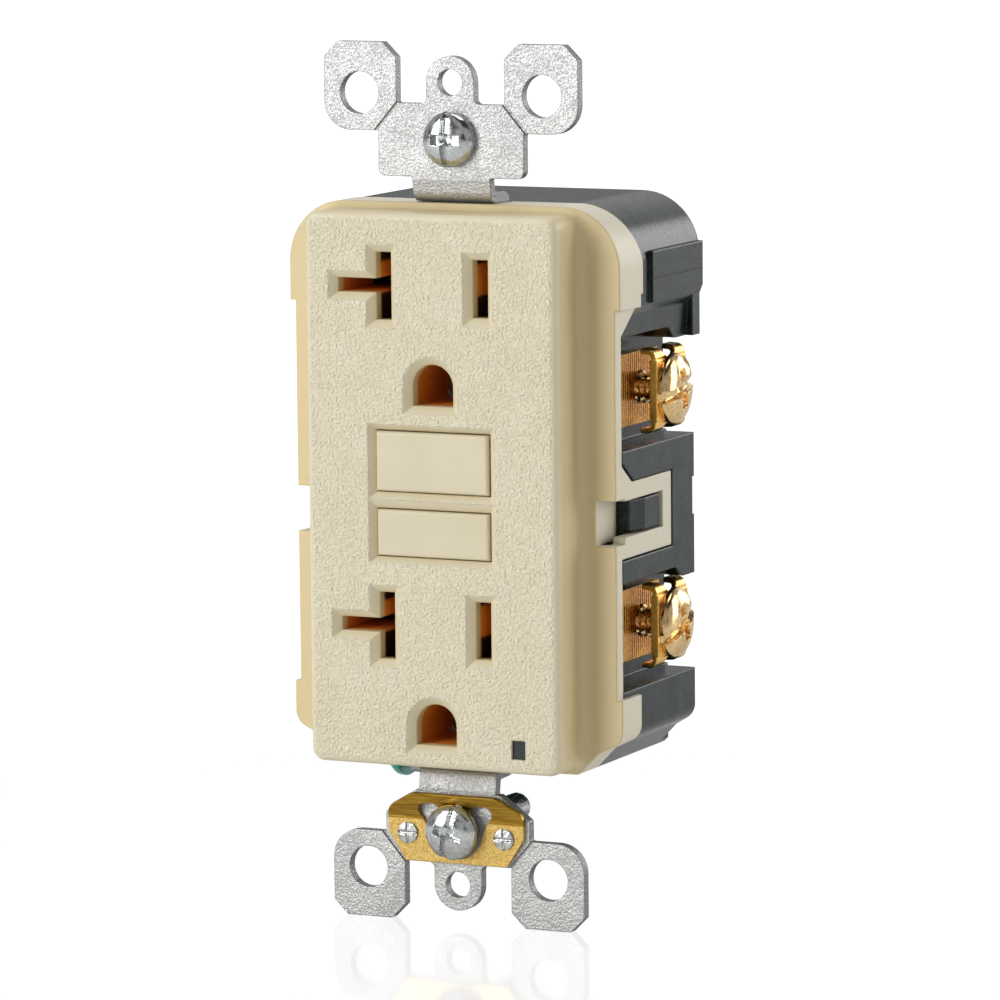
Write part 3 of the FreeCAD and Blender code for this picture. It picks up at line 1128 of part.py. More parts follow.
def main():
    save("face_cover", face_cover())
    save("rear_housing", rear_housing())
    save("mounting_strap", mounting_strap())
    save("ground_clip", ground_clip())
    save("clip_rivets", clip_rivets())
    save("top_mounting_screw", mounting_screw(1, 0.0))
    save("bottom_mounting_screw", mounting_screw(-1, LOWER_SCREW_PROUD))
    save("ground_screw", ground_screw())
    save("reset_button", reset_button())
    save("reset_pin", reset_pin())
    save("reset_spring", reset_spring())
    save("test_button", test_button())
    save("test_contact", test_contact())
    save("indicator_lens", indicator_lens())
    save("indicator_led", indicator_led())
    save("contact_tray", contact_tray())
    for pole, side in SIDES.items():
        save(pole + "_face_contact", face_contact(side))
        save(pole + "_line_terminal", line_terminal(side))
        save(pole + "_contact_arm", contact_arm(side))
        for stage, z in STAGES.items():
            save("%s_%s_screw" % (pole, stage), terminal_screw(side, z))
            save("%s_%s_clamp" % (pole, stage), clamp_plate(side, z))
    save("ground_contact_upper", ground_contact(GROUND_Z[0]))
    save("ground_contact_lower", ground_contact(GROUND_Z[1]))
    save("latch_plate", latch_plate())
    save("contact_carriage", contact_carriage())
    save("coil_bobbin", coil_bobbin())
    save("coil_winding", coil_winding())
    save("trip_plunger", trip_plunger())
    save("core_carrier", core_carrier())
    save("sense_core", core_ring(SENSE_CORE_Y))
    save("sense_winding", core_winding(SENSE_CORE_Y))
    save("neutral_core", core_ring(NEUTRAL_CORE_Y))
    save("neutral_winding", core_winding(NEUTRAL_CORE_Y))
    save("circuit_board", circuit_board())
    save("surge_varistor", surge_varistor())
    save("film_capacitor", film_capacitor())
    save("control_chip", control_chip())
    save("resistors", resistors())
    save("assembly_screws", assembly_screws())


main()
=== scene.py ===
import json
import math
import bpy
import numpy as np
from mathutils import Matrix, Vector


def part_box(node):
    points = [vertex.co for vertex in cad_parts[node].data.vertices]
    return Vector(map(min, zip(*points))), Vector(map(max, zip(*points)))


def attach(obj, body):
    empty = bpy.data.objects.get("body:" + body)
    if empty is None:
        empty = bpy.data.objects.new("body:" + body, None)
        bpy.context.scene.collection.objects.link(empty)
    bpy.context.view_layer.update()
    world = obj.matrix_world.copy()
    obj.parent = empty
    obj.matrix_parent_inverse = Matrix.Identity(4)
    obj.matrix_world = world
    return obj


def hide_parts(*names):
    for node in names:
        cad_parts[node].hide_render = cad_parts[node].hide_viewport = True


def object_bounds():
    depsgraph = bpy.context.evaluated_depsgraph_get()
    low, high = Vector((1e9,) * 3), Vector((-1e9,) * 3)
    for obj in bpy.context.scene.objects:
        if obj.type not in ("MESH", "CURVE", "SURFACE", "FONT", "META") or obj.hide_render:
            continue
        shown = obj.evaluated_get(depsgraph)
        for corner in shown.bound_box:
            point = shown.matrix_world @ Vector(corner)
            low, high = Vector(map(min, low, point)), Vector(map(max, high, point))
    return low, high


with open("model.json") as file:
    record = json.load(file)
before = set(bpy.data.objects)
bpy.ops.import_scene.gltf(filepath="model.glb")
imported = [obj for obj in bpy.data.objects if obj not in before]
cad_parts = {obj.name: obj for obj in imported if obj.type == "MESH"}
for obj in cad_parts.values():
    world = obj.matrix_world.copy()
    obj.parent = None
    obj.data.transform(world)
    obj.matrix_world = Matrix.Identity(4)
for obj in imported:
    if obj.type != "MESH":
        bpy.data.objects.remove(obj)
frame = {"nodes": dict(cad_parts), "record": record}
cad_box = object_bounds()
mm = 0.001


# ---- Front cover ----
# The ivory cover is one piece of moulded nylon: the raised face with its slots, the flange and the
# snap loops. Its face has a fine leather grain, cut into the mould; the flange is nearly smooth.
def start_material(name, colour, roughness, **settings):
    """A node material with one Principled shader; settings are that shader's own sockets."""
    material = bpy.data.materials.new(name)
    material.use_nodes = True
    shader = material.node_tree.nodes["Principled BSDF"]
    shader.inputs["Base Color"].default_value = (*colour, 1)
    shader.inputs["Roughness"].default_value = roughness
    for socket, value in settings.items():
        shader.inputs[socket.replace("_", " ")].default_value = value
    return material, material.node_tree, shader


def add_node(tree, kind, inputs=(), **options):
    """Adds a node, sets its options, and fills its inputs with values or joins them to other sockets."""
    node = tree.nodes.new("ShaderNode" + kind)
    for option, value in options.items():
        setattr(node, option, value)
    for socket, value in dict(inputs).items():
        if isinstance(value, bpy.types.NodeSocket):
            tree.links.new(value, node.inputs[socket])
        else:
            node.inputs[socket].default_value = value
    return node


def calculate(tree, operation, *values):
    """One arithmetic node on numbers or sockets."""
    return add_node(tree, "Math", dict(enumerate(values)), operation=operation).outputs[0]


def start_group(name, ins, outs):
    """A shader node group with named number inputs and typed outputs; gives its tree and both ends."""
    tree = bpy.data.node_groups.new(name, "ShaderNodeTree")
    for socket, value in ins.items():
        tree.interface.new_socket(socket, in_out="INPUT", socket_type="NodeSocketFloat").default_value = value
    for socket, kind in outs.items():
        tree.interface.new_socket(socket, in_out="OUTPUT", socket_type="NodeSocket" + kind)
    return tree, tree.nodes.new("NodeGroupInput").outputs, tree.nodes.new("NodeGroupOutput").inputs


def use_group(tree, group, **values):
    node = tree.nodes.new("ShaderNodeGroup")
    node.node_tree = group
    for socket, value in values.items():
        node.inputs[socket].default_value = value
    return node.outputs


def object_place(tree):
    """Object coordinates in millimetres."""
    coords = add_node(tree, "TexCoord").outputs["Object"]
    return add_node(tree, "VectorMath", {0: coords, "Scale": 1 / mm}, operation="SCALE").outputs[0]


def noise(tree, place, scale, detail=3.0, distortion=0.0, roughness=0.5):
    """Noise whose features are about 1 / scale millimetres across."""
    return add_node(tree, "TexNoise", {"Vector": place, "Scale": scale, "Detail": detail,
                                       "Distortion": distortion, "Roughness": roughness}).outputs["Fac"]


def remap(tree, value, low, high, to_low=0.0, to_high=1.0):
    """Maps low..high onto to_low..to_high, held at both ends."""
    return add_node(tree, "MapRange", {"Value": value, "From Min": low, "From Max": high,
                                       "To Min": to_low, "To Max": to_high}).outputs["Result"]


def blend_colours(tree, factor, first, second):
    mix = add_node(tree, "Mix", data_type="RGBA")
    tree.links.new(factor, mix.inputs[0])
    for index, colour in ((6, first), (7, second)):
        if isinstance(colour, bpy.types.NodeSocket):
            tree.links.new(colour, mix.inputs[index])
        else:
            mix.inputs[index].default_value = (*colour, 1)
    return mix.outputs[2]


def bump(tree, height, strength, distance_mm, normal=None):
    node = add_node(tree, "Bump", {"Height": height, "Strength": strength, "Distance": distance_mm * mm})
    if normal is not None:
        tree.links.new(normal, node.inputs["Normal"])
    return node.outputs["Normal"]


def soft_edges_group():
    """Rounds every sharp edge in the shading and gives a mask that is 1 on the edge.

    The mask is one less the dot product of the rounded normal and the true one, spread out and held to 1.
    """
    tree, ins, outs = start_group("soft edges", {"Radius": 0.3 * mm, "Spread": 6.0},
                                  {"Normal": "Vector", "Edge": "Float"})
    rounded = add_node(tree, "Bevel", {"Radius": ins["Radius"]}, samples=6).outputs["Normal"]
    true_normal = add_node(tree, "NewGeometry").outputs["Normal"]
    dot = add_node(tree, "VectorMath", {0: rounded, 1: true_normal}, operation="DOT_PRODUCT").outputs["Value"]
    gap = calculate(tree, "SUBTRACT", 1.0, dot)
    edge = add_node(tree, "Math", {0: gap, 1: ins["Spread"]}, operation="MULTIPLY", use_clamp=True).outputs[0]
    tree.links.new(rounded, outs["Normal"])
    tree.links.new(edge, outs["Edge"])
    return tree


def mottle_group():
    """Two sizes of noise: broad clouds a few millimetres across, and fine specks."""
    tree, ins, outs = start_group("mottle", {"Cloud scale": 0.15, "Speck scale": 4.0},
                                  {"Clouds": "Float", "Specks": "Float"})
    place = object_place(tree)
    for scale, output, detail in (("Cloud scale", "Clouds", 2.0), ("Speck scale", "Specks", 3.0)):
        fac = add_node(tree, "TexNoise", {"Vector": place, "Scale": ins[scale], "Detail": detail}).outputs["Fac"]
        tree.links.new(fac, outs[output])
    return tree


soft_edges = soft_edges_group()
mottle = mottle_group()


def finish_slot(slot, material):
    """Gives every CAD node of one material slot its finished material."""
    for part in frame["record"]["subparts"]:
        if part["material_slot"] == slot:
            frame["nodes"][part["node"]].data.materials[0] = material


def slot_painted_shade_and_copper_light(tree, axes, face, colour):
    """Past the lip of each slot the ivory walls are painted dark brown, a painted shade, and orange beside the
    copper contacts, a painted reflection of the copper.

    Both outlets share one pattern: height is wrapped so that it is 0 at each outlet's blade slots.
    All lengths are in millimetres."""
    upper_outlet, lower_outlet = 24.5, -16.3
    outlet_middle, blade_middle, ground_middle = -5.1, 0.9, -11.9    # heights in one outlet
    outlet_half_h, outlet_half_w, lip = 10.4, 13.1, 2.0
    blade_half_h, ground_half_h = 1.7, 2.6
    half_step = (upper_outlet - lower_outlet) / 2
    wrapped = calculate(tree, "WRAP", axes.outputs["Z"], upper_outlet + half_step, upper_outlet - half_step)
    height = calculate(tree, "SUBTRACT", wrapped, upper_outlet)

    def away_from(middle):
        return calculate(tree, "ABSOLUTE", calculate(tree, "SUBTRACT", height, middle))

    across = calculate(tree, "ABSOLUTE", axes.outputs["X"])
    zone = calculate(tree, "MULTIPLY",
                     remap(tree, away_from(outlet_middle), outlet_half_h, outlet_half_h + 0.2, 1, 0),
                     remap(tree, across, outlet_half_w, outlet_half_w + 0.2, 1, 0))
    past_lip = remap(tree, axes.outputs["Y"], face + lip, face + lip + 0.5)
    inside = calculate(tree, "MULTIPLY", zone, past_lip)
    beside_blade = remap(tree, away_from(blade_middle), blade_half_h, blade_half_h + 0.4, 1, 0)
    beside_ground = remap(tree, away_from(ground_middle), ground_half_h, ground_half_h + 0.8, 0.75, 0)
    lit = calculate(tree, "MAXIMUM", beside_blade, beside_ground)
    # Painted shade deep in each slot, and a painted copper reflection beside the contacts.
    shadow_brown, painted_copper_reflection = (0.035, 0.012, 0.004), (0.85, 0.30, 0.035)
    wall = blend_colours(tree, lit, shadow_brown, painted_copper_reflection)
    return blend_colours(tree, inside, colour, wall)


ivory_pale, ivory_deep = (0.76, 0.70, 0.52), (0.725, 0.66, 0.475)
# Warmer flange tone: partly the flange's own tone, partly painted shade of the cove beside the face.
flange_ivory_with_cove_shade = (0.70, 0.575, 0.325)
side_ivory = (0.70, 0.645, 0.50)
flange_front = -0.9    # mm along Y


def moulded_nylon(name, pale, deep, grained):
    """Ivory nylon with slight clouding. Grained adds the face's leather grain, and behind it the warmer
    flange, partly its own yellower tone and partly painted shade of the cove, and paler side walls."""
    material, tree, shader = start_material(name, pale, 0.42, IOR=1.5)
    place = object_place(tree)
    edges = use_group(tree, soft_edges, Radius=0.3 * mm)
    clouds = use_group(tree, mottle)["Clouds"]
    colour = blend_colours(tree, remap(tree, clouds, 0.3, 0.7), deep, pale)
    fine = noise(tree, place, 3.2, 3.0, 0.3)
    normal = bump(tree, fine, 0.3, 0.04, edges["Normal"])
    if grained:
        grain = calculate(tree, "SUBTRACT", noise(tree, place, 3.1, 1.0, 0.5, 0.2), 0.5)
        axes = add_node(tree, "SeparateXYZ", {0: place})
        depth = axes.outputs["Y"]
        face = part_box("face_cover")[0].y / mm
        on_face = remap(tree, depth, face + 0.15, face + 0.03)
        normal = bump(tree, calculate(tree, "MULTIPLY", grain, on_face), 1.0, 0.3, normal)
        behind_face = remap(tree, depth, face + 0.1, face + 1.6)
        behind_flange = remap(tree, depth, flange_front, flange_front + 0.6)
        # The flange is warmer: partly its own tone, partly painted shade of the cove beside the face.
        colour = blend_colours(tree, behind_face, colour, flange_ivory_with_cove_shade)
        colour = blend_colours(tree, behind_flange, colour, side_ivory)
        # Painted shade and a painted copper reflection on the slot walls past their lip.
        colour = slot_painted_shade_and_copper_light(tree, axes, face, colour)
    tree.links.new(colour, shader.inputs["Base Color"])
    tree.links.new(normal, shader.inputs["Normal"])
    tree.links.new(remap(tree, fine, 0.3, 0.7, 0.36, 0.5), shader.inputs["Roughness"])
    return material


finish_slot("ivory_nylon", moulded_nylon("ivory nylon", ivory_pale, ivory_deep, True))


# ---- Reset and test keys ----
# Two rocker-like keys moulded in the same ivory nylon from polished tools, so they are smoother
# than the face; each rides in its window on a foot that keeps it behind the cover.
finish_slot("ivory_key", moulded_nylon("ivory key", (0.70, 0.63, 0.45), (0.66, 0.59, 0.41), False))


# ---- Rear housing ----
# The deep housing is glass-filled black nylon: semi-gloss, slightly wavy where it shrank in the
# mould, with fine flow marks and paler edges, partly scuffs and partly a painted edge highlight.
def true_facing(tree, axis):
    """How far the flat surface, before any rounding or bump, faces along one axis."""
    return add_node(tree, "SeparateXYZ", {0: add_node(tree, "NewGeometry").outputs["True Normal"]}).outputs[axis]


def black_nylon():
    """Near-black with a green cast; a dark line of painted shade is drawn where each cheek steps, and the top is
    duller.
    """
    step_height, cheek_from = 24.8, 21.3    # mm: up the cheek, and out from the middle
    material, tree, shader = start_material("black nylon", (0.010, 0.018, 0.016), 0.24, IOR=1.5,
                                            Specular_IOR_Level=0.36)
    place = object_place(tree)
    edges = use_group(tree, soft_edges, Radius=0.35 * mm, Spread=4.0)
    marks = use_group(tree, mottle, **{"Cloud scale": 0.35, "Speck scale": 5.0})
    body = blend_colours(tree, remap(tree, marks["Clouds"], 0.35, 0.65), (0.002, 0.007, 0.006),
                         (0.010, 0.023, 0.019))
    # Paler edges: partly scuffs, partly a painted edge highlight.
    scuffed_and_highlit_edges = blend_colours(tree, remap(tree, edges["Edge"], 0.35, 1.0, 0.0, 0.5), body, (0.07, 0.08, 0.075))
    axes = add_node(tree, "SeparateXYZ", {0: place})
    off_line = calculate(tree, "ABSOLUTE", calculate(tree, "SUBTRACT", axes.outputs["Z"], step_height))
    outward = calculate(tree, "ABSOLUTE", axes.outputs["X"])
    step_line = calculate(tree, "MULTIPLY", remap(tree, off_line, 0.05, 0.14, 1, 0),
                          remap(tree, outward, cheek_from, cheek_from + 0.1))
    # The near-black line is painted shade in the step; the bump below also sinks it.
    shaded_step_colour = blend_colours(tree, step_line, scuffed_and_highlit_edges, (0.001, 0.001, 0.001))
    tree.links.new(shaded_step_colour, shader.inputs["Base Color"])
    tree.links.new(remap(tree, marks["Specks"], 0.3, 0.7, 0.18, 0.32), shader.inputs["Roughness"])
    tree.links.new(remap(tree, true_facing(tree, "Z"), 0.7, 0.98, 0.36, 0.04), shader.inputs["Specular IOR Level"])
    sunk = calculate(tree, "SUBTRACT", 1.0, step_line)
    waves = bump(tree, marks["Clouds"], 0.3, 0.12, bump(tree, sunk, 1.0, 0.1, edges["Normal"]))
    tree.links.new(bump(tree, marks["Specks"], 0.15, 0.02, waves), shader.inputs["Normal"])
    return material


finish_slot("black_nylon", black_nylon())


# ---- Mounting strap and its rivets ----
# The strap is stamped from zinc-plated steel: pale grey with the fine crystal speckle of the
# plating, painted shade on its edges and sheared sides, and score lines where the ears snap off.
def plated_steel(name, bright, dull, rough_low, rough_high, speck_scale):
    """Speckled plating; edges, and the sheared sides that don't face front or back, are painted darker, a painted
    shade.
    """
    material, tree, shader = start_material(name, bright, rough_low, Metallic=1.0)
    edges = use_group(tree, soft_edges, Radius=0.22 * mm, Spread=3.0)
    marks = use_group(tree, mottle, **{"Cloud scale": 0.3, "Speck scale": speck_scale})
    both = calculate(tree, "ADD", marks["Specks"], remap(tree, marks["Clouds"], 0.3, 0.7, -0.08, 0.08))
    colour = blend_colours(tree, remap(tree, both, 0.36, 0.6), dull, bright)
    # Painted shade on the sides that face neither front nor back, and on the edges.
    side_facing_shade = remap(tree, calculate(tree, "ABSOLUTE", true_facing(tree, "Y")), 0.55, 0.8, 0.75, 0.0)
    rim = calculate(tree, "MAXIMUM", remap(tree, edges["Edge"], 0.25, 0.8, 0.0, 0.5), side_facing_shade)
    steel_with_painted_edge_shade = blend_colours(tree, rim, colour, tuple(0.4 * value for value in dull))
    tree.links.new(steel_with_painted_edge_shade, shader.inputs["Base Color"])
    tree.links.new(remap(tree, both, 0.35, 0.65, rough_high, rough_low), shader.inputs["Roughness"])
    tree.links.new(bump(tree, marks["Specks"], 0.9, 0.12, edges["Normal"]), shader.inputs["Normal"])
    return material


strap_zinc = plated_steel("strap zinc", (0.585, 0.585, 0.575), (0.46, 0.465, 0.46), 0.44, 0.58, 3.6)
finish_slot("zinc_steel", strap_zinc)


def closed_surface(name, grid, first_pole, last_pole):
    """A mesh from a grid of rings: each ring closes on itself, and each end closes to one point."""
    rings, around = grid.shape[:2]
    here = np.arange(rings * around).reshape(rings, around)
    following = np.roll(here, -1, axis=1)
    quads = np.stack([here[:-1], following[:-1], following[1:], here[1:]], axis=-1).reshape(-1, 4)
    start, end = rings * around, rings * around + 1
    first_fan = np.stack([following[0], here[0], np.full(around, start)], axis=-1)
    last_fan = np.stack([here[-1], following[-1], np.full(around, end)], axis=-1)
    points = np.concatenate([grid.reshape(-1, 3), [first_pole, last_pole]])
    mesh = bpy.data.meshes.new(name)
    mesh.from_pydata(points.tolist(), [], quads.tolist() + first_fan.tolist() + last_fan.tolist())
    mesh.polygons.foreach_set("use_smooth", np.ones(len(mesh.polygons), bool))
    mesh.set_sharp_from_angle(angle=math.radians(40))
    piece = bpy.data.objects.new(name, mesh)
    bpy.context.scene.collection.objects.link(piece)
    return piece


def smooth_step(x, low, high):
    t = np.clip((x - low) / (high - low), 0, 1)
    return t * t * (3 - 2 * t)


def turned_grid(stations, around=144):
    """Radius and height at each station, carried once round the axis: x = r cos a, y = r sin a."""
    stations = np.asarray(stations, float)
    angle = np.linspace(0, 2 * np.pi, around, endpoint=False)
    radius = np.repeat(stations[:, :1], around, axis=1)
    height = np.repeat(stations[:, 1:], around, axis=1)
    return radius, height, np.broadcast_to(angle, radius.shape)


def stand_on_axis(radius, height, angle, seat, axis, spin):
    """Turns local points about the axis by spin and stands them on the seat, local up along axis."""
    up = np.array(axis, float)
    side = np.cross(up, [0.0, 0.0, 1.0])
    other = np.cross(up, side)
    turned = angle + spin
    return (np.array(seat) + radius[..., None] * (np.cos(turned)[..., None] * side
            + np.sin(turned)[..., None] * other) + height[..., None] * up)


def rivet_piece(name, centre, radius, front, back):
    """A rivet: a low crowned head stamped with a cross, on a plain shank.

    The crown is a parabola; the cross presses it down where the point lies near either of its arms."""
    head_t, crown_h, cross_depth, cross_half, cross_edge = 0.35 * mm, 0.10 * mm, 0.2 * mm, 0.08 * mm, 0.2 * mm
    crown = [(radius * r, front + crown_h * (r * r)) for r in np.linspace(0.95, 0.02, 16)]
    stations = [(0.65 * radius, back), (0.65 * radius, front + head_t), (0.94 * radius, front + head_t),
                (radius, front + head_t * 0.8), (radius, front + head_t * 0.35)] + crown
    r, y, angle = turned_grid(stations, 96)
    a, b = r * np.cos(angle), r * np.sin(angle)
    groove = np.maximum(1 - smooth_step(np.abs(a), cross_half, cross_edge),
                        1 - smooth_step(np.abs(b), cross_half, cross_edge))
    on_crown = (np.arange(len(stations)) > 4)[:, None]
    slope = 0.12 * mm * (1 + np.sin(2 * angle)) * (r / radius) * 0.5
    y = y + on_crown * (cross_depth * groove + slope * (1 - groove))
    x_mid, z_mid = centre
    grid = np.stack([x_mid + a, y, z_mid + b], axis=-1)
    return closed_surface(name, grid, (x_mid, back, z_mid), (x_mid, front + cross_depth, z_mid))


low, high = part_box("clip_rivets")
rivet_r = (high.z - low.z) / 2
rivet_steel = plated_steel("rivet steel", (0.74, 0.75, 0.74), (0.55, 0.56, 0.56), 0.2, 0.34, 2.0)
for name, x in (("left_rivet", low.x + rivet_r), ("right_rivet", high.x - rivet_r)):
    rivet = rivet_piece(name, (x, (low.z + high.z) / 2), rivet_r, low.y, high.y)
    rivet.data.materials.append(rivet_steel)
    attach(rivet, "receptacle")
    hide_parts("clip_rivets")


# ---- Brass grounding clip ----
# A thin stamped clip of rolled brass, riveted to the strap so that it springs against the lower
# box screw; its upper half is bent back, shows the rolling marks and is painted darker, a painted shade.
def rolled_brass():
    material, tree, shader = start_material("rolled brass", (0.86, 0.60, 0.20), 0.3, Metallic=1.0)
    place = object_place(tree)
    edges = use_group(tree, soft_edges, Radius=0.12 * mm)
    specks = use_group(tree, mottle, **{"Speck scale": 3.5})["Specks"]
    stretch = add_node(tree, "VectorMath", {0: place, 1: (0.25, 1.0, 5.0)}, operation="MULTIPLY").outputs[0]
    streaks = noise(tree, stretch, 1.2, 4.0)
    clip_low, clip_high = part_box("ground_clip")
    bend = (clip_low.z + 0.6 * (clip_high.z - clip_low.z)) / mm
    height = add_node(tree, "SeparateXYZ", {0: place}).outputs["Z"]
    # The bent upper half is painted darker orange-brown: painted shade, streaked by the rolling marks.
    upper = remap(tree, height, bend - 0.05, bend + 0.05)
    golden = blend_colours(tree, remap(tree, specks, 0.35, 0.65), (0.56, 0.36, 0.095), (0.80, 0.57, 0.20))
    streaked_bent_shade = blend_colours(tree, remap(tree, streaks, 0.35, 0.65), (0.30, 0.15, 0.02), (0.52, 0.32, 0.05))
    tree.links.new(blend_colours(tree, upper, golden, streaked_bent_shade), shader.inputs["Base Color"])
    tree.links.new(remap(tree, streaks, 0.3, 0.7, 0.26, 0.42), shader.inputs["Roughness"])
    tree.links.new(bump(tree, streaks, 0.2, 0.02, edges["Normal"]), shader.inputs["Normal"])
    return material


finish_slot("clip_brass", rolled_brass())


# ---- Box screws, terminal screws and the ground screw ----
# All are cold-headed machine screws with rolled threads and a combination drive, a full slot with
# a short cross. The box screws are zinc bright, the hot ones brass, the neutral ones nickel.
screw_radius = {"mounting": 1.75 * mm, "terminal": 2.0 * mm}
thread_pitch = 0.794 * mm


def arm_zone(a, b, reach):
    """1 near the middle of the head, where the driver's point sinks deepest."""
    return 1 - smooth_step(np.abs(a) + np.abs(b), 0.45 * reach, 0.75 * reach)


def screw_piece(name, body, axis, head_h, material, spin, plain=0.0, dents=0.0):
    """A cold-headed screw standing on its seat with its head along axis.

    The shank's radius is the outer radius less the thread depth times a triangle wave of
    height / pitch - angle / full turn, faded out at the tip and over the plain neck. The head is a
    superellipse arc from rim to crown, pressed down where the point lies inside the slot, the
    cross or the round pit at the centre, each with smoothly sloping walls."""
    corner_low, corner_high = (np.array(c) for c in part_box(name))
    up = np.array(axis, float)
    along = int(np.argmax(np.abs(up)))
    across = (along + 1) % 3
    top = (corner_high if up[along] > 0 else corner_low)[along] * up[along]
    tip = (corner_low if up[along] > 0 else corner_high)[along] * up[along]
    head_r = (corner_high[across] - corner_low[across]) / 2
    middle = (corner_low + corner_high) / 2
    seat = middle * (1 - np.abs(up)) + up * (top - head_h)
    length = top - head_h - tip
    shank_r = screw_radius["mounting" if "mounting" in name else "terminal"]
    pitch = thread_pitch
    depth = 0.55 * pitch
    steps = max(int(length / (pitch / 12)), 8)
    shank = [(shank_r, z) for z in np.linspace(-length + 0.25 * mm, -0.02 * mm, steps)]
    t = np.linspace(0, np.pi / 2, 64)[1:]
    rim_h = 0.30 * head_h
    crown = [(head_r * np.cos(a) ** 0.75 if a < np.pi / 2 - 0.02 else 0.02 * head_r,
              rim_h + (head_h - rim_h) * np.sin(a) ** 1.1) for a in t]
    head = [(head_r * 0.97, 0.0), (head_r, 0.06 * head_h), (head_r, rim_h)]
    stations = [(shank_r - 0.75 * depth, -length)] + shank + head + crown
    r, z, angle = turned_grid(stations, 216)
    wave = z / pitch - angle / (2 * np.pi)
    thread = np.abs(2 * (wave - np.floor(wave)) - 1)
    on_shank = (np.arange(len(stations)) > 0) & (np.arange(len(stations)) <= steps)
    fade = smooth_step(z, -length, -length + pitch) * (1 - smooth_step(z, -plain - pitch, -plain + 1e-6))
    r = r - on_shank[:, None] * depth * np.where(z < -plain, 1 - (1 - thread) * fade - (1 - fade) * 0.5, 0.45)
    on_head = (np.arange(len(stations)) > steps + 2)[:, None]
    a, b = r * np.cos(angle), r * np.sin(angle)
    slot_half, cross_half, reach, wall = 0.125 * head_r, 0.15 * head_r, 0.56 * head_r, 0.045 * head_r
    slotted = 1 - smooth_step(np.abs(b), slot_half, slot_half + wall)
    arm = ((1 - smooth_step(np.abs(a), cross_half, cross_half + wall))
           * (1 - smooth_step(np.abs(b), reach - wall, reach)))
    pit = 1 - smooth_step(r, 0.10 * head_r, 0.42 * head_r)
    taper = 1 - 0.45 * np.clip(r / head_r, 0, 1)
    slot_depth, cross_depth, pit_depth = 0.40, 0.62, 0.66    # shares of the head's height
    pressed = np.maximum(np.maximum(slotted * slot_depth, arm * cross_depth * taper),
                         pit * arm_zone(a, b, reach) * pit_depth) * head_h
    wobble = dents * head_h * (0.5 * np.sin(3 * angle + 1.0) + 0.3 * np.sin(5 * angle + 0.4)) * (r / head_r) ** 2
    z = z - on_head * (pressed + np.abs(wobble))
    grid = stand_on_axis(r, z, angle, seat, up, spin)
    piece = closed_surface(name + "_turned", grid, seat - up * length, seat + up * (head_h * 0.38))
    piece.data.materials.append(material)
    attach(piece, body)
    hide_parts(name)


def bright_metal(name, bright, shade, rough_low, rough_high):
    """Plated screw stock: fine specks, a few dull patches and small dents."""
    material, tree, shader = start_material(name, bright, rough_low, Metallic=1.0)
    marks = use_group(tree, mottle, **{"Cloud scale": 0.6, "Speck scale": 2.2})
    colour = blend_colours(tree, remap(tree, marks["Specks"], 0.35, 0.7), shade, bright)
    tree.links.new(colour, shader.inputs["Base Color"])
    tree.links.new(remap(tree, marks["Clouds"], 0.3, 0.7, rough_low, rough_high), shader.inputs["Roughness"])
    dented = bump(tree, marks["Clouds"], 0.3, 0.05)
    tree.links.new(bump(tree, marks["Specks"], 0.25, 0.02, dented), shader.inputs["Normal"])
    return material


bright_zinc = bright_metal("bright zinc", (0.74, 0.755, 0.75), (0.52, 0.54, 0.545), 0.1, 0.22)
brass_plate = bright_metal("bright brass", (0.90, 0.70, 0.40), (0.74, 0.47, 0.20), 0.1, 0.22)
nickel_plate = bright_metal("nickel", (0.84, 0.82, 0.78), (0.62, 0.60, 0.56), 0.12, 0.24)
finish_slot("bright_zinc", bright_zinc)
finish_slot("silver_screw", nickel_plate)

for name, body, spin, neck in (("top_mounting_screw", "top_screw", 90, 1.3),
                               ("bottom_mounting_screw", "bottom_screw", 76, 2.6)):
    screw_piece(name, body, (0, -1, 0), 2.0 * mm, bright_zinc, math.radians(spin), neck * mm)
for pole, side, slot, metal in (("hot", 1, "screw_brass", brass_plate),
                                ("neutral", -1, "silver_screw", nickel_plate)):
    for stage, spin in (("load", 12), ("line", 24)):
        screw_piece("%s_%s_screw" % (pole, stage), "%s_%s_turner" % (pole, stage), (side, 0, 0),
                    1.85 * mm, metal, math.radians(spin), dents=0.10)


# ---- Green ground screw ----
# The grounding screw is the same cold-headed screw dipped in clear teal-green lacquer over zinc.
def green_lacquer():
    material, tree, shader = start_material("green lacquer", (0.0, 0.36, 0.29), 0.25, Metallic=0.1,
                                            Coat_Weight=0.6, Coat_Roughness=0.12)
    marks = use_group(tree, mottle, **{"Cloud scale": 0.5, "Speck scale": 2.0})
    colour = blend_colours(tree, remap(tree, marks["Specks"], 0.35, 0.65), (0.0, 0.27, 0.22), (0.02, 0.50, 0.41))
    tree.links.new(colour, shader.inputs["Base Color"])
    tree.links.new(remap(tree, marks["Clouds"], 0.3, 0.7, 0.18, 0.34), shader.inputs["Roughness"])
    tree.links.new(bump(tree, marks["Specks"], 0.3, 0.05), shader.inputs["Normal"])
    return material


screw_piece("ground_screw", "ground_terminal_screw", (-1, 0, 0), 2.25 * mm,
            green_lacquer(), math.radians(20), dents=0.05)


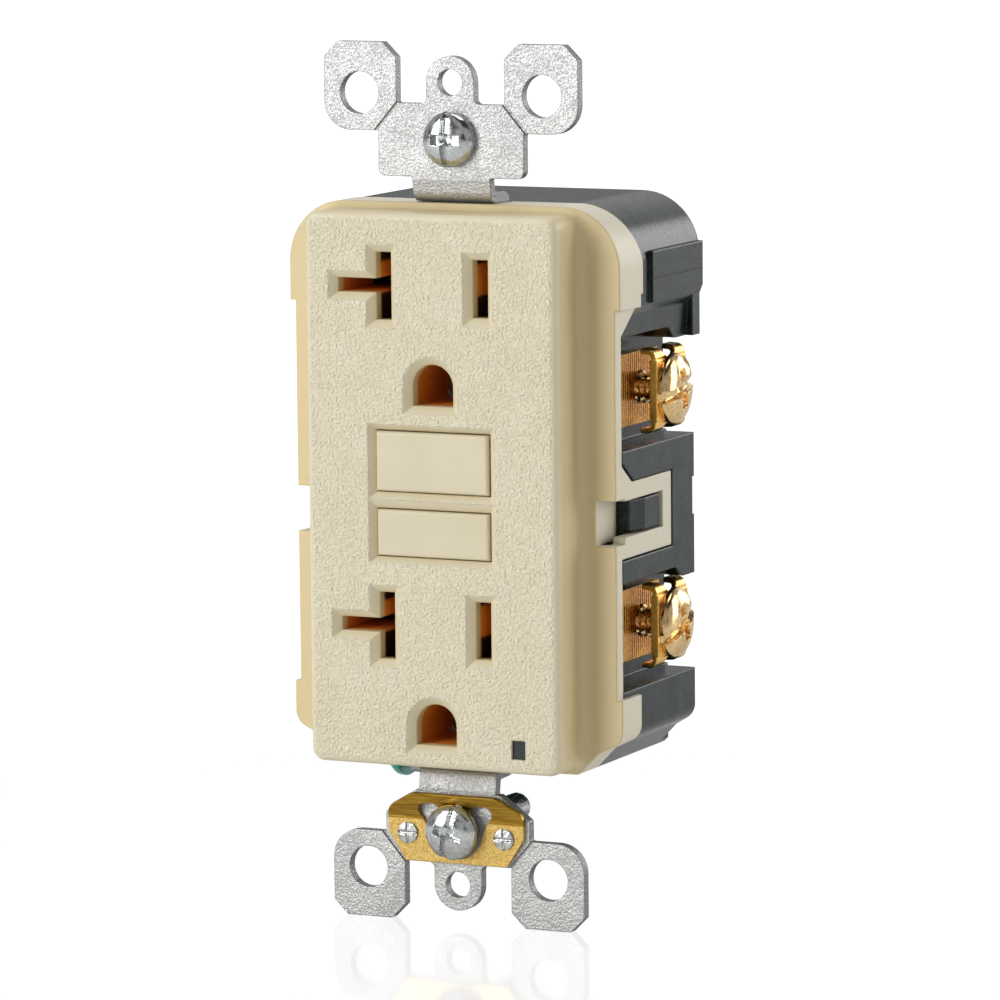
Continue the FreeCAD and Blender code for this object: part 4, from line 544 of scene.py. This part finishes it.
# ---- Terminal clamps ----
# Each clamp is a square brass washer with its edges turned in, drawn bright by the stamping; the
# hot side is brass and the neutral side plated like its screws.
def stamped_brass(name, bright, shade):
    material, tree, shader = start_material(name, bright, 0.22, Metallic=1.0)
    edges = use_group(tree, soft_edges, Radius=0.25 * mm, Spread=3.0)
    marks = use_group(tree, mottle, **{"Cloud scale": 0.5, "Speck scale": 3.0})
    colour = blend_colours(tree, remap(tree, marks["Specks"], 0.35, 0.65), shade, bright)
    tree.links.new(colour, shader.inputs["Base Color"])
    tree.links.new(remap(tree, marks["Clouds"], 0.3, 0.7, 0.18, 0.34), shader.inputs["Roughness"])
    tree.links.new(bump(tree, marks["Clouds"], 0.25, 0.1, edges["Normal"]), shader.inputs["Normal"])
    return material


finish_slot("screw_brass", stamped_brass("stamped brass", (1.0, 0.66, 0.20), (0.84, 0.43, 0.07)))


# ---- Contacts and terminal plates ----
# The current-carrying strips are stamped copper alloy. Inside the slots they look orange; the
# plates in the side pockets are brighter and rolled with fine ridges that bite the wire.
def ridges(tree, along, spacing):
    """A sine wave along one direction, one full wave per spacing in millimetres."""
    return calculate(tree, "SINE", calculate(tree, "MULTIPLY", along, 2 * math.pi / spacing))


def contact_alloy():
    """Copper inside; past the pocket floor, 15.4 mm out, it turns to ridged brass."""
    material, tree, shader = start_material("contact alloy", (0.85, 0.5, 0.2), 0.28, Metallic=1.0)
    place = object_place(tree)
    edges = use_group(tree, soft_edges, Radius=0.15 * mm)
    specks = use_group(tree, mottle, **{"Speck scale": 2.0})["Specks"]
    axes = add_node(tree, "SeparateXYZ", {0: place})
    plate = remap(tree, calculate(tree, "ABSOLUTE", axes.outputs["X"]), 15.4, 15.6)
    copper = blend_colours(tree, remap(tree, specks, 0.3, 0.7), (0.60, 0.25, 0.07), (0.86, 0.44, 0.15))
    brass = blend_colours(tree, remap(tree, specks, 0.3, 0.7), (0.74, 0.33, 0.045), (1.0, 0.56, 0.12))
    tree.links.new(blend_colours(tree, plate, copper, brass), shader.inputs["Base Color"])
    ridge = calculate(tree, "MULTIPLY", ridges(tree, axes.outputs["Y"], 0.62), plate)
    normal = bump(tree, ridge, 0.8, 0.12, edges["Normal"])
    tree.links.new(bump(tree, specks, 0.2, 0.03, normal), shader.inputs["Normal"])
    tree.links.new(remap(tree, specks, 0.3, 0.7, 0.2, 0.36), shader.inputs["Roughness"])
    return material


finish_slot("contact_copper", contact_alloy())


# ---- Inner moulded pieces, spring and board parts ----
# Everything inside the housing: moulded carriers, the drawn-steel spring and latch, the wound
# ring cores, and the small circuit board with its parts.
def plain_plastic(name, pale, deep, roughness, speck_scale=3.0, bump_mm=0.03, **settings):
    material, tree, shader = start_material(name, pale, roughness, **settings)
    marks = use_group(tree, mottle, **{"Cloud scale": 0.3, "Speck scale": speck_scale})
    edges = use_group(tree, soft_edges, Radius=0.15 * mm)
    tree.links.new(blend_colours(tree, remap(tree, marks["Clouds"], 0.3, 0.7), deep, pale),
                   shader.inputs["Base Color"])
    tree.links.new(remap(tree, marks["Specks"], 0.3, 0.7, roughness - 0.07, roughness + 0.07),
                   shader.inputs["Roughness"])
    tree.links.new(bump(tree, marks["Specks"], 0.25, bump_mm, edges["Normal"]), shader.inputs["Normal"])
    return material


for slot, pale, deep, roughness in (
        ("smoked_lens", (0.035, 0.04, 0.042), (0.02, 0.024, 0.026), 0.16),
        ("clear_epoxy", (0.60, 0.80, 0.62), (0.45, 0.68, 0.48), 0.14),
        ("grey_nylon", (0.52, 0.51, 0.47), (0.44, 0.43, 0.39), 0.5),
        ("white_plastic", (0.80, 0.79, 0.74), (0.72, 0.71, 0.66), 0.48),
        ("core_iron", (0.17, 0.19, 0.18), (0.11, 0.13, 0.12), 0.42),
        ("blue_epoxy", (0.06, 0.17, 0.45), (0.04, 0.11, 0.33), 0.3),
        ("yellow_film", (0.78, 0.58, 0.12), (0.68, 0.48, 0.07), 0.35),
        ("chip_black", (0.035, 0.035, 0.035), (0.022, 0.022, 0.022), 0.55),
        ("resistor_beige", (0.68, 0.52, 0.33), (0.58, 0.42, 0.25), 0.4)):
    finish_slot(slot, plain_plastic(slot.replace("_", " "), pale, deep, roughness))
finish_slot("spring_steel",
            plated_steel("spring steel", (0.60, 0.61, 0.62), (0.38, 0.39, 0.40), 0.25, 0.4, 4.0))


def wound_wire():
    """Enamelled wire: fine ridges of neighbouring turns, a sine of the distance along the winding; the colour
    follows the same sine as painted shade and highlight.
    """
    material, tree, shader = start_material("enamelled wire", (0.5, 0.2, 0.07), 0.25, Coat_Weight=0.5)
    axes = add_node(tree, "SeparateXYZ", {0: object_place(tree)})
    ridge = ridges(tree, axes.outputs["Z"], 0.22)
    # Painted shade in the grooves between turns and painted highlight on their crests.
    colour = blend_colours(tree, remap(tree, ridge, -1.0, 1.0), (0.22, 0.07, 0.02), (0.62, 0.26, 0.09))
    tree.links.new(colour, shader.inputs["Base Color"])
    tree.links.new(bump(tree, ridge, 0.6, 0.08), shader.inputs["Normal"])
    return material


def board_mask():
    """Green solder mask over etched tracks, which show as paler bands."""
    material, tree, shader = start_material("solder mask", (0.04, 0.25, 0.12), 0.28, Coat_Weight=0.3)
    place = object_place(tree)
    tracks = add_node(tree, "TexBrick", {"Vector": place, "Scale": 0.45, "Mortar Size": 0.12},
                      offset=0.37).outputs["Fac"]
    colour = blend_colours(tree, tracks, (0.03, 0.20, 0.10), (0.07, 0.34, 0.16))
    tree.links.new(colour, shader.inputs["Base Color"])
    tree.links.new(bump(tree, tracks, 0.3, 0.05), shader.inputs["Normal"])
    return material


finish_slot("enamelled_wire", wound_wire())
finish_slot("green_board", board_mask())


# ---- Floor, light and camera ----
# A pale floor under the piece, four large soft lights and a white room, as for a catalogue view.
# The floor shows a faint reflection near the piece and runs to white further out.
floor_low = cad_box[0][2]
bpy.ops.mesh.primitive_circle_add(vertices=128, radius=8.0, fill_type="NGON", location=(0, 0, floor_low))
floor = bpy.context.object
floor.name = "floor"
floor_material = bpy.data.materials.new("pale floor")
floor_material.use_nodes = True
floor_tree = floor_material.node_tree
floor_tree.nodes.clear()
lit = add_node(floor_tree, "BsdfDiffuse", {"Color": (0.8, 0.8, 0.8, 1)}).outputs[0]
white = add_node(floor_tree, "Emission", {"Color": (1, 1, 1, 1), "Strength": 1.0}).outputs[0]
sheen = add_node(floor_tree, "BsdfGlossy", {"Color": (1, 1, 1, 1), "Roughness": 0.08}).outputs[0]
seen = add_node(floor_tree, "MixShader", {0: 0.16, 1: white, 2: sheen}).outputs[0]
spot = object_place(floor_tree)
distance = add_node(floor_tree, "VectorMath", {0: spot}, operation="LENGTH").outputs["Value"]
floor_tree.links.new(remap(floor_tree, distance, 120, 220, 0.99, 1.32), white.node.inputs["Strength"])
by_camera = add_node(floor_tree, "LightPath").outputs["Is Camera Ray"]
both = add_node(floor_tree, "MixShader", {0: by_camera, 1: lit, 2: seen}).outputs[0]
add_node(floor_tree, "OutputMaterial", {"Surface": both})
floor.data.materials.append(floor_material)


def studio_room():
    """Grey walls with darker gaps, from low-scale noise on the direction looked in, and a white backdrop.

    The backdrop is bright where the direction lies near (-0.41, 0.91, 0) and above the horizon.
    Seen straight, without a reflection, the room is plain white."""
    world = bpy.data.worlds.new("studio room")
    bpy.context.scene.world = world
    world.use_nodes = True
    tree = world.node_tree
    direction = add_node(tree, "TexCoord").outputs["Generated"]
    patches = add_node(tree, "TexNoise", {"Vector": direction, "Scale": 1.9, "Detail": 1.0}).outputs["Fac"]
    walls = remap(tree, patches, 0.42, 0.56, 0.05, 0.42)
    towards = add_node(tree, "VectorMath", {0: direction, 1: (-0.41, 0.91, 0.0)}, operation="DOT_PRODUCT")
    height = add_node(tree, "SeparateXYZ", {0: direction}).outputs["Z"]
    bright = remap(tree, towards.outputs["Value"], 0.55, 0.9, 0.0, 1.1)
    backdrop = calculate(tree, "MULTIPLY", bright, remap(tree, height, 0.11, 0.16, 0.0, 1.0))
    by_eye = add_node(tree, "LightPath").outputs["Is Camera Ray"]
    level = calculate(tree, "MAXIMUM", calculate(tree, "MAXIMUM", walls, backdrop), by_eye)
    tree.links.new(level, tree.nodes["Background"].inputs["Strength"])
    tree.nodes["Background"].inputs["Color"].default_value = (1.0, 1.0, 1.0, 1)


studio_room()


def soft_light(name, place, width, height, power):
    """A rectangular soft light that faces the origin."""
    data = bpy.data.lights.new(name, "AREA")
    data.shape = "RECTANGLE"
    data.size, data.size_y = width, height
    data.energy = power
    lamp = bpy.data.objects.new(name, data)
    bpy.context.scene.collection.objects.link(lamp)
    lamp.location = place
    x, y, z = place
    lamp.rotation_euler = (math.atan2(math.hypot(x, y), z), 0, math.atan2(y, x) + math.pi / 2)


soft_light("front_left_softbox", (-0.50, -0.75, 0.35), 0.5, 0.8, 6.9)
soft_light("top_softbox", (0.05, 0.10, 0.85), 0.7, 0.4, 2.2)
soft_light("right_softbox", (0.75, 0.45, 0.25), 0.35, 0.7, 2.6)
soft_light("right_rear_softbox", (0.42, 0.88, 0.20), 0.45, 0.4, 1.8)

camera_data = bpy.data.cameras.new("catalogue_view")
camera = bpy.data.objects.new("catalogue_view", camera_data)
bpy.context.scene.collection.objects.link(camera)
camera.location = (0.3220, -0.6719, 0.09735)
camera.rotation_euler = (math.radians(82.4225), math.radians(0.5397), math.radians(25.1543))
camera_data.sensor_width = 36.0
camera_data.lens = 225.74
camera_data.clip_end = 50.0
bpy.context.scene.camera = camera
bpy.context.scene.view_settings.view_transform = "Standard"
